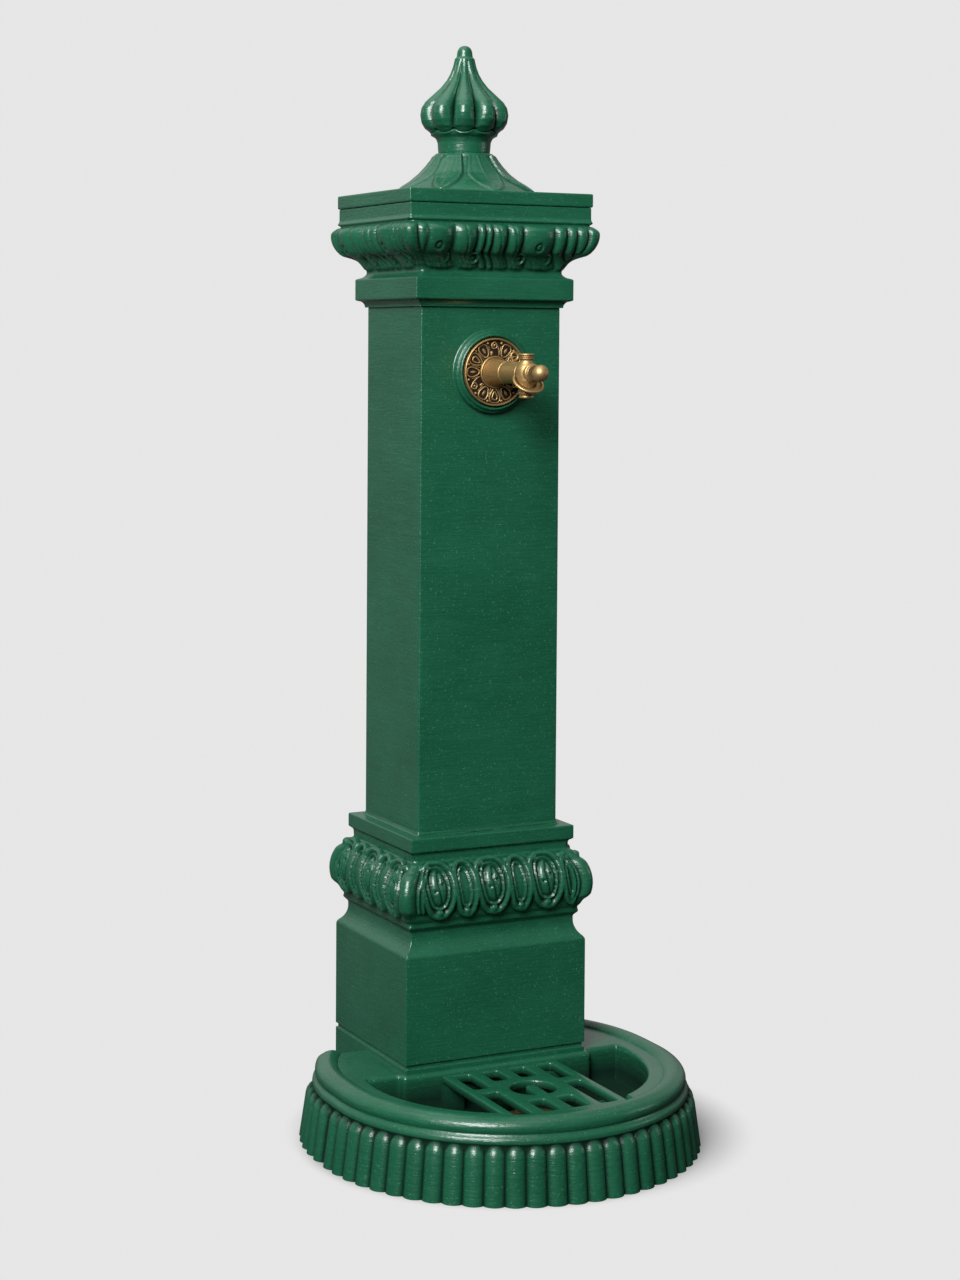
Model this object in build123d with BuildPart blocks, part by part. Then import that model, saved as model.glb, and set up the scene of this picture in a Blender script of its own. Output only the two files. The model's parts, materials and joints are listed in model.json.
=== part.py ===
from build123d import *
import math
import os

# A cast-iron garden standpipe: a square column with a self-closing push tap over a fluted basin.
# Millimetres, +Z up, front towards -Y. The origin lies under the middle of the whole object.

os.makedirs("parts", exist_ok=True)

# Heights of the castings, one on top of the other
block_height = 85
pad_height = 5
column_base_height = 242.5
shaft_height = 575.5
capital_height = 110.5
slab_height = 15
leaf_skirt_height = 45.5
finial_height = 121

# Column in plan
shaft_width = 170
shaft_depth = 142
casting_wall = 8
plinth_overhang = 25
plinth_hollow_share = 0.4454
slab_overhang = 26.5
pad_inset = 2
edge_radius = 1.5

# Basin in plan
bowl_setback = 116
bowl_straight = 27
bowl_back_reach = 9
skirt_radius = 208.5
skirt_inner_radius = 190
rim_inner_radius = 187
well_radius = 155
well_back_setback = 102
ear_setback = 92
ear_start = 115
ear_radius = 18
ear_root_radius = 4

# Basin in height
rim_height = 85
deck_height = 80
deck_thickness = 8
well_floor_height = 40
well_floor_thickness = 8
well_wall = 7

# Convex reeds round the skirt
reed_radius = 10
reed_rise = 4.5
reed_lean = 9
reed_height = 61
reeds_in_half_turn = 30
side_reeds = 5

# Drain grate and its seats
grate_width = 140
grate_length = 163
grate_thickness = 9
grate_top = 76.5
grate_play = 1
grate_rail = 7
grate_side_rail = 10
slot_width = 20
slot_corner = 1.5
cross_bar = 15
cross_bar_setback = 170
finger_hole_setback = 182
finger_hole_radius = 25
finger_ring = 10
inner_slot_margin = 3
tongue_width = 12
tongue_length = 35
grate_edge = 0.6
seat_width = 20
seat_depth = 16
notch_play = 4

# Anchor bosses under the basin
anchor_spacing_x = 180
anchor_front_setback = 265.5
anchor_back_reach = 76
anchor_boss_radius = 14
anchor_drill_radius = 4.25
anchor_drill_depth = 25

# Tie rod that clamps the column together
rod_radius = 6
rod_fit = 0.05
rod_hole_play = 1
rod_in_finial = 30
tie_bar_length = 120
tie_bar_width = 28
tie_bar_thickness = 8
hollow_opening_x = 60
hollow_opening_y = 90
tie_washer_radius = 13
tie_washer_thickness = 2
tie_nut_across = 19
tie_nut_height = 10
rod_tail = 3

# Supply pipe inside the column
riser_setback = 26
riser_radius = 7.5
riser_wall = 1
pipe_fit = 0.05
pipe_to_tail = 0.5
nut_to_socket = 3
elbow_radius = 12
elbow_socket = 14
inlet_level = 12
inlet_length = 34
inlet_radius = 14
inlet_bore_radius = 9.3
inlet_bore_depth = 15
clip_height = 10
clip_wall = 3
clip_count = 3

# Tap on the front face of the shaft
tap_below_capital = 71
boss_radius = 45
boss_thickness = 6
boss_ring_radius = 42.5
boss_ring_width = 4.5
boss_ring_rise = 4
rosette_radius = 37.2
rosette_plate = 2.5
rosette_rim = 2.2
rosette_rim_rise = 3
rosette_hub_radius = 17
rosette_hub_ring = 2
rosette_hub_rise = 2
tail_radius = 10
tail_bore_radius = 5
tail_hole_play = 0.5
barrel_radius = 13.8
barrel_end_radius = 12.4
barrel_waist_share = 0.4
barrel_reach = 40
spigot_radius = 8
spigot_length = 10
body_tube_radius = 11.8
chamber_radius = 7
seat_reach = 76
seat_wall = 2.5
seat_bore_radius = 4
head_reach = 83
head_radius = 11
head_drop = 9
head_shoulder_rise = 7.3
head_neck_rise = 12.4
head_neck_radius = 6.5
head_foot_radius = 8
head_foot_start = 14
head_foot_drop = 22
gland_boss_radius = 9.3
gland_face_reach = 97
outlet_radius = 5

# Small parts of the tap
nozzle_radius = 7.4
nozzle_height = 8
nozzle_overlap = 5
brim_radius = 14.6
brim_tilt = 38
brim_drop = 13
brim_advance = 1.5
brim_depth = 4
brim_wall = 1.6
top_cap_radius = 7.4
top_cap_rise = 20.3
top_cap_thickness = 3.6
top_cap_step = 0.9
top_cap_shank_radius = 3.5
top_cap_shank_length = 8
gasket_thickness = 0.8
eyelet_radius = 4.6
eyelet_hole_radius = 2.75
eyelet_reach = 58
eyelet_rise = 17.5
eyelet_thickness = 4.5
gland_collar_radius = 8
gland_collar_length = 7
gland_spigot_length = 8
stem_radius = 2.5
ring_section = 1.6
ball_radius = 8.5
ball_stop_play = 1.5
button_travel = 5
running_fit = 0.05
valve_radius = 6
valve_washer_thickness = 2.5
valve_cup_length = 5
valve_rim = 1
spring_radius = 5.5
spring_wire = 1.2
backnut_across = 27
backnut_thickness = 6
tail_washer_radius = 16
tail_washer_thickness = 2

# Waste outlet under the grate
waste_radius = 21
waste_end_radius = 20
waste_end_length = 17
waste_groove_length = 1
waste_groove_depth = 0.5
waste_wall = 3
waste_flange_radius = 30
waste_flange_thickness = 3
waste_gasket_thickness = 2
waste_reach = 34
waste_hole_play = 1
waste_nut_across = 54
waste_nut_height = 8
waste_bar = 4

# How far a cut runs past the face that it starts from
overrun = 5

# Shares of the overhang and of the height: a flat step, or a round through a middle point
column_base_shares = [
    (1.00, 0.000), (1.00, 0.478), (0.93, 0.490), (0.73, 0.513, 0.59, 0.560), (0.59, 0.583),
    (0.78, 0.604), (0.78, 0.622), (1.18, 0.767, 0.80, 0.854), (0.60, 0.882), (0.46, 0.892),
    (0.46, 0.930), (0.59, 0.934), (0.59, 1.000),
]
capital_shares = [
    (0.11, 0.000), (0.14, 0.035, 0.23, 0.060), (0.42, 0.068), (0.42, 0.285), (0.24, 0.300),
    (0.12, 0.335, 0.22, 0.405), (0.47, 0.495, 0.71, 0.552), (1.17, 0.690, 1.12, 0.808),
    (0.98, 0.830, 0.945, 0.870), (0.945, 1.000),
]
bowl_profile_shares = [
    (1.000, 0.000), (0.957, 0.700), (0.974, 0.722), (0.974, 0.750), (0.934, 0.788),
    (0.942, 0.890, 0.912, 0.971), (0.875, 1.000, 0.828, 0.941),
]
finial_stem_shares = [
    (0.595, 0.000), (0.595, 0.030), (0.615, 0.110), (0.655, 0.145), (0.755, 0.172), (0.770, 0.200),
    (0.735, 0.222),
]
bud_shares = [
    (0.735, 0.210), (0.895, 0.252), (0.969, 0.310), (1.000, 0.360), (0.979, 0.418), (0.897, 0.475),
    (0.736, 0.537), (0.562, 0.603), (0.434, 0.669), (0.335, 0.732), (0.275, 0.797), (0.215, 0.892),
]
bud_radius = 48.4
bud_lobes = 10
bud_groove_share = 0.86
bud_tip_share = 0.16
skirt_foot_radius = 82
skirt_waist_radius = 49.5
skirt_waist_share = 0.47
skirt_top_radius = 31.7
cap_hollow_radius = 60
cap_hollow_top_radius = 22
cap_crown = 10

# Levels that follow from the sizes above
plinth_level = block_height + pad_height
shaft_level = plinth_level + column_base_height
capital_level = shaft_level + shaft_height
tap_height = capital_level - tap_below_capital
cap_level = capital_level + capital_height
skirt_level = cap_level + slab_height
finial_level = skirt_level + leaf_skirt_height
from_face = (Align.CENTER, Align.CENTER, Align.MIN)


def round_length(plane, start, end, radius, mode=Mode.ADD):
    """A round length along the normal of a plane, between two distances from it."""
    with Locations(plane.offset(start)):
        Cylinder(radius, end - start, align=from_face, mode=mode)


def square_length(plane, start, end, width, depth, mode=Mode.ADD):
    """A square-edged length along the normal of a plane, between two distances from it."""
    with Locations(plane.offset(start)):
        Box(width, depth, end - start, align=from_face, mode=mode)


def hexagon_length(plane, start, end, across_flats):
    """A six-sided length, as on a nut."""
    with BuildSketch(plane.offset(start)) as flats:
        RegularPolygon(across_flats / 2, 6, major_radius=False)
    extrude(flats.sketch, amount=end - start)


def stepped_outline(steps, place):
    """Lines and arcs through shares: a pair is a straight step, four numbers are an arc."""
    corner = place(*steps[0])
    for step in steps[1:]:
        if len(step) == 2:
            target = place(*step)
            Line(corner, target)
        else:
            target = place(*step[2:])
            ThreePointArc(corner, place(*step[:2]), target)
        corner = target
    return corner


def moulding_section(plane, half_width, foot, height, overhang, steps):
    """The whole section of a moulded casting, drawn on one side and mirrored."""
    def place(out_share, up_share):
        return (half_width + overhang * out_share, foot + height * up_share)

    with BuildSketch(plane) as section:
        with BuildLine():
            Line((0, foot), place(*steps[0]))
            top = stepped_outline(steps, place)
            Line(top, (0, foot + height))
            Line((0, foot + height), (0, foot))
        make_face()
        mirror(about=Plane.YZ)
    return section.sketch


# Middle of the whole object in plan: the basin reaches furthest forward, the capital's round furthest back
capital_steps = (capital_level, capital_height, slab_overhang, capital_shares)
capital_outline = moulding_section(Plane.YZ, shaft_depth / 2, *capital_steps)
front_reach = bowl_setback + skirt_radius + reed_rise
back_reach = capital_outline.bounding_box().max.Y
column_y = (front_reach - back_reach) / 2
front_face = column_y - shaft_depth / 2
bowl_front_y = column_y - bowl_setback
bowl_rear_y = bowl_front_y + bowl_straight
bowl_back_y = column_y + bowl_back_reach
well_back_y = column_y - well_back_setback
hollow_x = shaft_width - casting_wall * 2
hollow_y = shaft_depth - casting_wall * 2

column_axis = Plane((0, column_y, 0), (1, 0, 0), (0, 0, 1))
column_front_view = Plane((0, column_y, 0), (1, 0, 0), (0, -1, 0))
column_side_view = Plane((0, column_y, 0), (0, 1, 0), (1, 0, 0))
tap_plane = Plane((0, front_face, tap_height), (1, 0, 0), (0, -1, 0))
tap_side_view = Plane((0, front_face, tap_height), (0, -1, 0), (-1, 0, 0))
tap_axis = Axis((0, front_face, tap_height), (0, -1, 0))
head_plane = Plane((0, front_face - head_reach, tap_height), (1, 0, 0), (0, 0, 1))


def moulded_casting(foot, height, overhang, steps):
    """A hollow length of the column: the same moulding runs round all four sides, mitred."""
    reach = shaft_width
    across = moulding_section(column_front_view, shaft_width / 2, foot, height, overhang, steps)
    along = moulding_section(column_side_view, shaft_depth / 2, foot, height, overhang, steps)
    extrude(across, amount=reach, both=True)
    extrude(along, amount=reach, both=True, mode=Mode.INTERSECT)
    square_length(column_axis, foot - overrun, foot + height + overrun, hollow_x, hollow_y,
                  Mode.SUBTRACT)


def bowl_plan(radius, back):
    """The bowl seen from above: two round ends, straight sides, and a square cut at the back."""
    with BuildSketch() as plan:
        with Locations((0, bowl_front_y), (0, bowl_rear_y)):
            Circle(radius)
        with Locations((0, (bowl_front_y + bowl_rear_y) / 2)):
            Rectangle(radius * 2, bowl_straight)
        with Locations((0, back + radius)):
            Rectangle(radius * 4, radius * 2, mode=Mode.SUBTRACT)
    return plan.sketch


def bowl_profile(plane, side):
    """Half of the bowl's section, on one side of its upright axis."""
    def place(out_share, up_share):
        return (side * skirt_radius * out_share, rim_height * up_share)

    with BuildSketch(plane) as section:
        with BuildLine():
            Line((0, 0), place(*bowl_profile_shares[0]))
            top = stepped_outline(bowl_profile_shares, place)
            Line(top, (0, top[1]))
            Line((0, top[1]), (0, 0))
        make_face()
    return section.sketch


def save(piece, name):
    """Label one finished piece and write its file."""
    piece.part.label = name
    export_step(piece.part, f"parts/{name}.step")


# Plan of the well: a round front, a straight back wall and a shallow ear at each side
with BuildSketch() as well_plan:
    with Locations((0, bowl_front_y)):
        Circle(well_radius)
    with Locations((0, column_y - ear_setback + well_radius)):
        Rectangle(well_radius * 4, well_radius * 2, mode=Mode.SUBTRACT)
    with Locations((0, well_back_y + well_radius)):
        Rectangle(ear_start * 2, well_radius * 2, mode=Mode.SUBTRACT)
    ear_corners = well_plan.vertices().group_by(Axis.Y)[-1].sort_by(Axis.X)
    fillet([ear_corners[0], ear_corners[-1]], radius=ear_radius)
    fillet([ear_corners[1], ear_corners[2]], radius=ear_root_radius)

# One reed at the front of the bowl: a leaning round bar with a domed top
reed_angle = math.atan2(reed_lean, reed_height)
reed_foot = skirt_radius + reed_rise - reed_radius / math.cos(reed_angle)
reed_direction = (0, math.sin(reed_angle), math.cos(reed_angle))
reed_top = reed_height - reed_radius
reed_axis = Plane((0, -reed_foot, 0), (1, 0, 0), reed_direction)
with BuildPart() as reed:
    round_length(reed_axis, -overrun, reed_top / math.cos(reed_angle), reed_radius)
    with Locations(reed_axis.offset(reed_top / math.cos(reed_angle))):
        Sphere(reed_radius)
    with Locations((0, -reed_foot, 0)):
        Box(reed_radius * 4, reed_radius * 4, overrun * 4, align=(Align.CENTER, Align.CENTER, Align.MAX),
            mode=Mode.SUBTRACT)

block_width = shaft_width + plinth_overhang * 2
block_depth = shaft_depth + plinth_overhang * 2
with BuildSketch() as block_plan:
    with Locations((0, column_y)):
        Rectangle(block_width, block_depth)

reed_pitch = 180 / reeds_in_half_turn
grate_y = well_back_y - grate_play - grate_length / 2
grate_front_y = grate_y - grate_length / 2
grate_foot = grate_top - grate_thickness
hole_y = column_y - finger_hole_setback
waste_plane = Plane((0, hole_y, well_floor_height), (1, 0, 0), (0, 0, 1))
anchor_y = (column_y - anchor_front_setback, column_y + anchor_back_reach)
anchor_places = [(x, y) for y in anchor_y for x in (-anchor_spacing_x / 2, anchor_spacing_x / 2)]

with BuildPart() as basin:
    # Round front, straight sides and round back of the bowl
    front_section = Plane((0, bowl_front_y, 0), (1, 0, 0), (0, -1, 0))
    rear_section = Plane((0, bowl_rear_y, 0), (1, 0, 0), (0, -1, 0))
    front_axis = Axis((0, bowl_front_y, 0), (0, 0, 1))
    rear_axis = Axis((0, bowl_rear_y, 0), (0, 0, 1))
    revolve(bowl_profile(front_section, -1), axis=front_axis, revolution_arc=180)
    revolve(bowl_profile(rear_section, 1), axis=rear_axis, revolution_arc=180)
    for side in (-1, 1):
        extrude(bowl_profile(rear_section, side), amount=bowl_straight)

    # Reeds round the front half turn, and on along the sides
    with Locations((0, bowl_front_y, 0)):
        with PolarLocations(0, reeds_in_half_turn + 1, -90, 180, endpoint=True):
            add(reed.part)
    side_turn = reed_pitch * (side_reeds - 1)
    with Locations((0, bowl_rear_y, 0)):
        with PolarLocations(0, side_reeds, 90, side_turn, endpoint=True):
            add(reed.part)
        with PolarLocations(0, side_reeds, -90, -side_turn, endpoint=True):
            add(reed.part)

    # Everything behind the square back goes
    with Locations((0, bowl_back_y, -overrun)):
        Box(skirt_radius * 4, skirt_radius * 2, rim_height * 2,
            align=(Align.CENTER, Align.MIN, Align.MIN), mode=Mode.SUBTRACT)

    # Block under the column, with the raised pad that the column stands on
    square_length(column_axis, 0, block_height, block_width, block_depth)
    square_length(column_axis, block_height, plinth_level,
                  block_width - pad_inset * 2, block_depth - pad_inset * 2)

    # Hollow under the bowl, below and round the well
    well_underside = well_floor_height - well_floor_thickness
    cavity_back = bowl_back_y - casting_wall
    with BuildSketch() as lower_cavity:
        add(bowl_plan(skirt_inner_radius, cavity_back))
        add(block_plan.sketch, mode=Mode.SUBTRACT)
    extrude(amount=well_underside, mode=Mode.SUBTRACT)
    with BuildSketch(Plane.XY.offset(well_underside)) as upper_cavity:
        add(bowl_plan(rim_inner_radius, cavity_back))
        add(block_plan.sketch, mode=Mode.SUBTRACT)
        add(offset(well_plan.sketch, amount=well_wall, mode=Mode.PRIVATE), mode=Mode.SUBTRACT)
    extrude(amount=deck_height - deck_thickness - well_underside, mode=Mode.SUBTRACT)

    # Hollow of the block, and the opening in its top for the rod and the pipe
    square_length(column_axis, -overrun, plinth_level - casting_wall, block_width - casting_wall * 2,
                  block_depth - casting_wall * 2, Mode.SUBTRACT)
    square_length(column_axis, plinth_level - casting_wall - overrun, plinth_level + overrun,
                  hollow_opening_x, hollow_opening_y, Mode.SUBTRACT)

    # The well, and the notch in front of the grate
    with BuildSketch(Plane.XY.offset(well_floor_height)) as well_cut:
        add(well_plan.sketch)
    extrude(amount=rim_height, mode=Mode.SUBTRACT)
    with Locations((0, grate_front_y - notch_play, grate_foot)):
        Box(grate_width + grate_play * 2, grate_length / 2, rim_height,
            align=(Align.CENTER, Align.MIN, Align.MIN), mode=Mode.SUBTRACT)

    # Seats that the grate's corners rest on
    seat_x = grate_width / 2 - seat_width / 2
    with Locations((-seat_x, well_back_y, well_floor_height), (seat_x, well_back_y, well_floor_height)):
        Box(seat_width, seat_depth, grate_foot - well_floor_height, align=(Align.CENTER, Align.MAX, Align.MIN))
    seat_front_y = grate_front_y + seat_depth + seat_width
    with Locations((-seat_x, seat_front_y, well_floor_height), (seat_x, seat_front_y, well_floor_height)):
        Box(seat_width, seat_depth * 2, grate_foot - well_floor_height,
            align=(Align.CENTER, Align.MAX, Align.MIN))

    # Waste hole, and threaded anchor bosses
    round_length(waste_plane, -well_floor_thickness - overrun, overrun, waste_radius + waste_hole_play,
                 Mode.SUBTRACT)
    boss_levels = (deck_height - deck_thickness, deck_height - deck_thickness,
                   plinth_level - casting_wall, plinth_level - casting_wall)
    for (x, y), level in zip(anchor_places, boss_levels):
        boss_plane = Plane((x, y, 0), (1, 0, 0), (0, 0, 1))
        round_length(boss_plane, 0, level, anchor_boss_radius)
        round_length(boss_plane, -overrun, anchor_drill_depth, anchor_drill_radius, Mode.SUBTRACT)
save(basin, "basin")

with BuildPart() as drain_grate:
    slot_pitch = (grate_width - grate_side_rail * 2 - slot_width) / 3
    bar_y = column_y - cross_bar_setback
    back_row = grate_y + grate_length / 2 - grate_rail
    front_row = grate_y - grate_length / 2 + grate_rail
    ring_reach = finger_hole_radius + finger_ring + inner_slot_margin
    # Each slot runs from a rail to the cross bar, or for the inner ones to the finger ring
    slot_ends = []
    for column in range(4):
        inner = column in (1, 2)
        slot_ends.append((column, back_row, hole_y + ring_reach if inner else bar_y + cross_bar / 2))
        slot_ends.append((column, front_row, hole_y - ring_reach if inner else bar_y - cross_bar / 2))
    with BuildSketch(Plane.XY.offset(grate_foot)) as grate_plan:
        with Locations((0, grate_y)):
            Rectangle(grate_width, grate_length)
        for column, rail_end, bar_end in slot_ends:
            with Locations(((column - 1.5) * slot_pitch, (rail_end + bar_end) / 2)):
                RectangleRounded(slot_width, abs(rail_end - bar_end), slot_corner, mode=Mode.SUBTRACT)
        with Locations((0, hole_y)):
            Circle(finger_hole_radius, mode=Mode.SUBTRACT)
        tongue_y = hole_y - finger_hole_radius + tongue_length / 2
        with Locations((0, tongue_y - tongue_width / 4 - grate_rail / 2)):
            Rectangle(tongue_width, tongue_length - tongue_width / 2 + grate_rail)
        with Locations((0, hole_y - finger_hole_radius + tongue_length - tongue_width / 2)):
            Circle(tongue_width / 2)
    extrude(amount=grate_thickness)
    chamfer(drain_grate.faces().sort_by(Axis.Z)[-1].edges(), length=grate_edge)
save(drain_grate, "drain_grate")

with BuildPart() as column_base:
    moulded_casting(plinth_level, column_base_height, plinth_overhang, column_base_shares)
    # The plinth is cast as thin as the rest, so its hollow is wider than the shaft's
    plinth_hollow_top = plinth_level + column_base_height * plinth_hollow_share
    square_length(column_axis, plinth_level - overrun, plinth_hollow_top,
                  block_width - casting_wall * 2, block_depth - casting_wall * 2, Mode.SUBTRACT)
save(column_base, "column_base")

with BuildPart() as shaft:
    square_length(column_axis, shaft_level, capital_level, shaft_width, shaft_depth)
    fillet(shaft.edges().filter_by(Axis.Z), radius=edge_radius)
    square_length(column_axis, shaft_level - overrun, capital_level + overrun, hollow_x, hollow_y,
                  Mode.SUBTRACT)
    # Round boss that the tap's rosette sits in
    round_length(tap_plane, -casting_wall, boss_thickness, boss_radius)
    fillet(shaft.edges().filter_by(GeomType.CIRCLE).sort_by(Axis.Y)[0], radius=edge_radius)
    with BuildSketch(tap_side_view) as ring_section_sketch:
        with BuildLine():
            inner_corner = (boss_thickness, boss_ring_radius - boss_ring_width)
            outer_corner = (boss_thickness, boss_ring_radius)
            crest = (boss_thickness + boss_ring_rise, boss_ring_radius - boss_ring_width / 2)
            ThreePointArc(inner_corner, crest, outer_corner)
            Line(outer_corner, inner_corner)
        make_face()
    revolve(axis=tap_axis)
    round_length(tap_plane, -casting_wall - overrun, boss_thickness + overrun,
                 tail_radius + tail_hole_play, Mode.SUBTRACT)
save(shaft, "shaft")

with BuildPart() as capital:
    moulded_casting(*capital_steps)
save(capital, "capital")

with BuildPart() as cap:
    square_length(column_axis, cap_level, skirt_level, shaft_width + slab_overhang * 2,
                  shaft_depth + slab_overhang * 2)
    fillet(cap.edges(), radius=edge_radius)
    # Ogee skirt that rises from the slab to the foot of the finial, hollow beneath
    with BuildSketch(column_front_view) as skirt_outline:
        with BuildLine():
            waist = (skirt_waist_radius, skirt_level + leaf_skirt_height * skirt_waist_share)
            ThreePointArc((skirt_foot_radius, skirt_level), waist, (skirt_top_radius, finial_level))
            Polyline((skirt_top_radius, finial_level), (0, finial_level), (0, skirt_level - edge_radius),
                     (skirt_foot_radius, skirt_level - edge_radius), (skirt_foot_radius, skirt_level))
        make_face()
    revolve(axis=Axis((0, column_y, 0), (0, 0, 1)))
    with BuildSketch(column_front_view) as hollow_outline:
        with BuildLine():
            crown_level = finial_level - cap_crown
            Polyline((0, cap_level - overrun), (cap_hollow_radius, cap_level - overrun),
                     (cap_hollow_radius, cap_level), (cap_hollow_top_radius, crown_level),
                     (0, crown_level), close=True)
        make_face()
    revolve(axis=Axis((0, column_y, 0), (0, 0, 1)), mode=Mode.SUBTRACT)
    round_length(column_axis, crown_level - overrun, finial_level + overrun, rod_radius + rod_hole_play,
                 Mode.SUBTRACT)
save(cap, "cap")

with BuildPart() as finial:
    # Turned stem and collar
    with BuildSketch(column_front_view) as stem_outline:
        with BuildLine():
            stem_points = [(bud_radius * out, finial_level + finial_height * up)
                           for out, up in finial_stem_shares]
            Polyline((0, finial_level), *stem_points, (0, stem_points[-1][1]), close=True)
        make_face()
    revolve(axis=Axis((0, column_y, 0), (0, 0, 1)))
    # Lobed bud: each level is a ring of arcs that meet in grooves
    for out, up in bud_shares:
        with BuildSketch(column_axis.offset(finial_level + finial_height * up)) as bud_level:
            with BuildLine():
                for lobe in range(bud_lobes):
                    turns = (lobe, lobe + 0.5, lobe + 1)
                    radii = (bud_groove_share, 1, bud_groove_share)
                    points = [(bud_radius * out * r * math.cos(t / bud_lobes * math.tau),
                               bud_radius * out * r * math.sin(t / bud_lobes * math.tau))
                              for t, r in zip(turns, radii)]
                    ThreePointArc(*points)
            make_face()
    loft()
    # Domed tip above the lobes
    with BuildSketch(column_front_view) as tip_outline:
        with BuildLine():
            tip_foot = finial_level + finial_height * bud_shares[-1][1]
            tip_top = finial_level + finial_height
            tip_radius = bud_radius * bud_tip_share
            shoulder = tip_top - tip_radius
            Polyline((0, tip_top), (0, tip_foot - overrun), (tip_radius, tip_foot - overrun),
                     (tip_radius, shoulder))
            ThreePointArc((tip_radius, shoulder),
                          (tip_radius * math.sin(math.pi / 4), shoulder + tip_radius * math.sin(math.pi / 4)),
                          (0, tip_top))
        make_face()
    revolve(axis=Axis((0, column_y, 0), (0, 0, 1)))
    round_length(column_axis, finial_level - overrun, finial_level + rod_in_finial + overrun,
                 rod_radius + rod_fit, Mode.SUBTRACT)
save(finial, "finial")

# Tie rod, and the bar, washer and nut that it pulls against under the block's top
tie_bar_top = plinth_level - casting_wall
tie_bar_foot = tie_bar_top - tie_bar_thickness
tie_washer_foot = tie_bar_foot - tie_washer_thickness
tie_nut_foot = tie_washer_foot - tie_nut_height
rod_foot = tie_nut_foot - rod_tail

with BuildPart() as tie_rod:
    round_length(column_axis, rod_foot, finial_level + rod_in_finial, rod_radius)
save(tie_rod, "tie_rod")

with BuildPart() as tie_bar:
    square_length(column_axis, tie_bar_foot, tie_bar_top, tie_bar_length, tie_bar_width)
    round_length(column_axis, tie_bar_foot - overrun, tie_bar_top + overrun, rod_radius + rod_fit,
                 Mode.SUBTRACT)
save(tie_bar, "tie_bar")

with BuildPart() as tie_washer:
    round_length(column_axis, tie_washer_foot, tie_bar_foot, tie_washer_radius)
    round_length(column_axis, tie_washer_foot - overrun, tie_bar_foot + overrun, rod_radius + rod_fit,
                 Mode.SUBTRACT)
save(tie_washer, "tie_washer")

with BuildPart() as tie_nut:
    hexagon_length(column_axis, tie_nut_foot, tie_washer_foot, tie_nut_across)
    round_length(column_axis, tie_nut_foot - overrun, tie_washer_foot + overrun, rod_radius + rod_fit,
                 Mode.SUBTRACT)
save(tie_nut, "tie_nut")

# Supply: inlet at the foot, riser, clips on the tie rod and the elbow behind the tap
riser_y = column_y - riser_setback
riser_axis = Plane((0, riser_y, 0), (1, 0, 0), (0, 0, 1))
inlet_top = inlet_level + inlet_length
riser_foot = inlet_level + inlet_bore_depth
riser_top = tap_height - tail_radius
elbow_foot = riser_top - elbow_socket
# The tap's tail runs in as far as the riser pipe
tail_inside = shaft_depth / 2 - casting_wall - riser_setback - riser_radius - pipe_to_tail

with BuildPart() as inlet_connector:
    hexagon_length(riser_axis, inlet_level, inlet_level + inlet_bore_depth + riser_wall * 2, inlet_radius * 2)
    round_length(riser_axis, inlet_level, inlet_top, inlet_radius - riser_wall * 2)
    round_length(riser_axis, inlet_level - overrun, inlet_level + inlet_bore_depth, inlet_bore_radius,
                 Mode.SUBTRACT)
    round_length(riser_axis, riser_foot - overrun, inlet_top + overrun, riser_radius + pipe_fit,
                 Mode.SUBTRACT)
save(inlet_connector, "inlet_connector")

with BuildPart() as riser_pipe:
    round_length(riser_axis, riser_foot, riser_top, riser_radius)
    round_length(riser_axis, riser_foot - overrun, riser_top + overrun, riser_radius - riser_wall,
                 Mode.SUBTRACT)
save(riser_pipe, "riser_pipe")

with BuildPart() as supply_elbow:
    # Upright socket on the riser, and a level socket on the tap's threaded tail
    elbow_reach = front_face - riser_y
    socket_face = -casting_wall - tail_washer_thickness - backnut_thickness - nut_to_socket
    round_length(riser_axis, elbow_foot, tap_height, elbow_radius)
    round_length(tap_plane, elbow_reach, socket_face, elbow_radius + riser_wall)
    with Locations((0, riser_y, tap_height)):
        Sphere(elbow_radius + riser_wall)
    round_length(riser_axis, elbow_foot - overrun, riser_top, riser_radius + pipe_fit, Mode.SUBTRACT)
    round_length(riser_axis, elbow_foot, tap_height, riser_radius - riser_wall, Mode.SUBTRACT)
    round_length(tap_plane, elbow_reach, socket_face, tail_bore_radius, Mode.SUBTRACT)
    round_length(tap_plane, -casting_wall - tail_inside, socket_face + overrun, tail_radius + pipe_fit,
                 Mode.SUBTRACT)
save(supply_elbow, "supply_elbow")

with BuildPart() as riser_clips:
    clip_step = (riser_top - riser_foot) / (clip_count + 1)
    for clip in range(clip_count):
        clip_foot = riser_foot + clip_step * (clip + 1)
        round_length(riser_axis, clip_foot, clip_foot + clip_height, riser_radius + clip_wall)
        round_length(column_axis, clip_foot, clip_foot + clip_height, rod_radius + clip_wall)
        with Locations((0, (riser_y + column_y) / 2, clip_foot)):
            Box(rod_radius, riser_setback, clip_height, align=from_face)
        round_length(riser_axis, clip_foot - overrun, clip_foot + clip_height + overrun,
                     riser_radius + pipe_fit, Mode.SUBTRACT)
        round_length(column_axis, clip_foot - overrun, clip_foot + clip_height + overrun,
                     rod_radius + rod_fit, Mode.SUBTRACT)
save(riser_clips, "riser_clips")

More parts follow.
